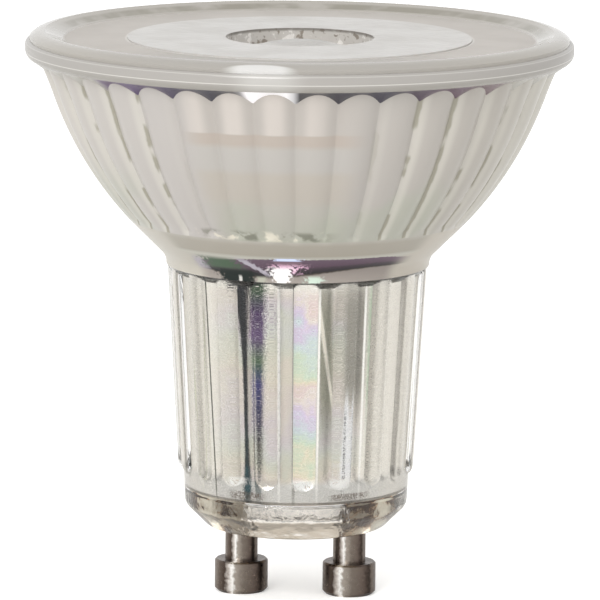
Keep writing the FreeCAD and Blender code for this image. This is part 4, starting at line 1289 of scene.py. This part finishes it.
@dataclass
class Studio:
    """Pale floor, white surround, one softbox and the camera."""

    distance: float = 550.0
    camera_height: float = 120.0
    azimuth_deg: float = 5.5
    pitch_deg: float = 9.57
    roll_deg: float = 0.5
    focal_length: float = 364.9
    shift: float = 0.0042
    room_level: float = 0.85
    side_level: float = 1.05
    floor_reach_m: float = 3.0
    key_azimuth_deg: float = -13.0
    key_rise_deg: float = 32.0
    key_distance_m: float = 0.9
    key_size_m: float = 0.35
    key_watts: float = 4.5
    key_aim: float = 25.0

    def camera(self) -> None:
        """Sets the camera at the photograph's angle."""
        data = bpy.data.cameras.new("camera")
        data.sensor_width = 36.0
        data.lens = self.focal_length
        data.shift_x = self.shift
        data.clip_start, data.clip_end = 0.01, 20.0
        turn, pitch, roll = (math.radians(angle) for angle in
                             (self.azimuth_deg, self.pitch_deg, self.roll_deg))
        place = (Matrix.Rotation(turn, 4, "Z") @ Matrix.Rotation(math.pi / 2 - pitch, 4, "X")
                 @ Matrix.Rotation(roll, 4, "Z"))
        place.translation = Vector((self.distance * math.sin(turn),
                                    -self.distance * math.cos(turn), self.camera_height)) * MM
        camera = put("camera", data)
        camera.matrix_world = place
        bpy.context.scene.camera = camera

    def surround(self) -> None:
        """White for the camera, and for the light a bright sweep with a darker room in front."""
        world = bpy.data.worlds.new("studio")
        world.use_nodes = True
        bpy.context.scene.world = world
        graph = Graph(world.node_tree)
        _, y, _ = graph.split(graph.add("TexCoord", {}, "Generated"))
        level = y.fade(-0.68, -0.92).mix((self.side_level,) * 3, (self.room_level,) * 3)
        background = world.node_tree.nodes["Background"]
        graph.feed(background.inputs["Color"], graph.seen().mix(level, WHITE))

    def floor(self) -> None:
        """Pale floor that turns white for the camera, under the object's shadow."""
        mesh = bpy.data.meshes.new("floor")
        reach = self.floor_reach_m
        corners = [(-reach, -reach, 0), (reach, -reach, 0), (reach, reach, 0), (-reach, reach, 0)]
        mesh.from_pydata(corners, [], [(0, 1, 2, 3)])
        paint = Paint("floor")
        mesh.materials.append(paint.done({
            "Base Color": (0.9, 0.895, 0.88), "Roughness": 0.9, "Emission Color": WHITE,
            "Emission Strength": paint.seen() * 0.32}))
        floor = put("floor", mesh)

    def key(self) -> None:
        """Square softbox that faces the lamp's middle."""
        data = bpy.data.lights.new("key", "AREA")
        data.size, data.energy = self.key_size_m, self.key_watts
        turn, rise = math.radians(self.key_azimuth_deg), math.radians(self.key_rise_deg)
        toward = Vector((math.sin(turn) * math.cos(rise), -math.cos(turn) * math.cos(rise),
                         math.sin(rise)))
        light = put("key", data)
        light.location = toward * self.key_distance_m + Vector((0, 0, self.key_aim * MM))
        light.rotation_euler = toward.to_track_quat("Z", "Y").to_euler()


def main() -> None:
    """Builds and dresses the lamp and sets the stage."""
    logging.basicConfig(level=logging.INFO, format="%(name)s %(message)s")
    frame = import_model()
    place, streak = place_group(), streak_group()
    low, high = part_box("glass_body")
    shape = PressedGlass(foot=low.z / MM, rim_radius=high.x / MM, mouth=high.z / MM)
    at = shape.levels()
    finishes = {
        Face.CLEAR: ClearGlass(place, at["floor"]),
        Face.FILM: ReflectorFilm(place, streak, at["floor"], at["shoulder"]),
        Face.EDGE: UnderBeadReflection(place),
        Face.BOWL: BowlSkin(place, shape.flute_count, at["bowl"], at["bead"]),
        Face.BEAD: BeadSkin(place, low_line=shape.mouth - shape.lip - shape.land,
                            high_line=shape.mouth - 0.5 * shape.lip),
        Face.COLLAR: CollarSkin(place, streak, at["collar"], at["bowl"])}
    glass = shape.build({face: finish.material() for face, finish in finishes.items()})
    log.info("%s: %d faces", glass.name, len(glass.data.polygons))

    fittings = Fittings(frame["nodes"])
    fittings.dress(LensPlastic(place).material(), "front_lens")
    for side in ("left", "right"):
        pin_low, pin_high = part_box(f"contact_pin_{side}")
        metal = PinMetal((pin_low.x + pin_high.x) / 2 / MM, f"nickel_{side}")
        fittings.dress(metal.material(), f"contact_pin_{side}")
    fittings.dress_inside()

    bpy.context.scene.view_settings.view_transform = "Standard"
    studio = Studio()
    studio.camera()
    studio.surround()
    studio.floor()
    studio.key()


if __name__ == "__main__":
    main()
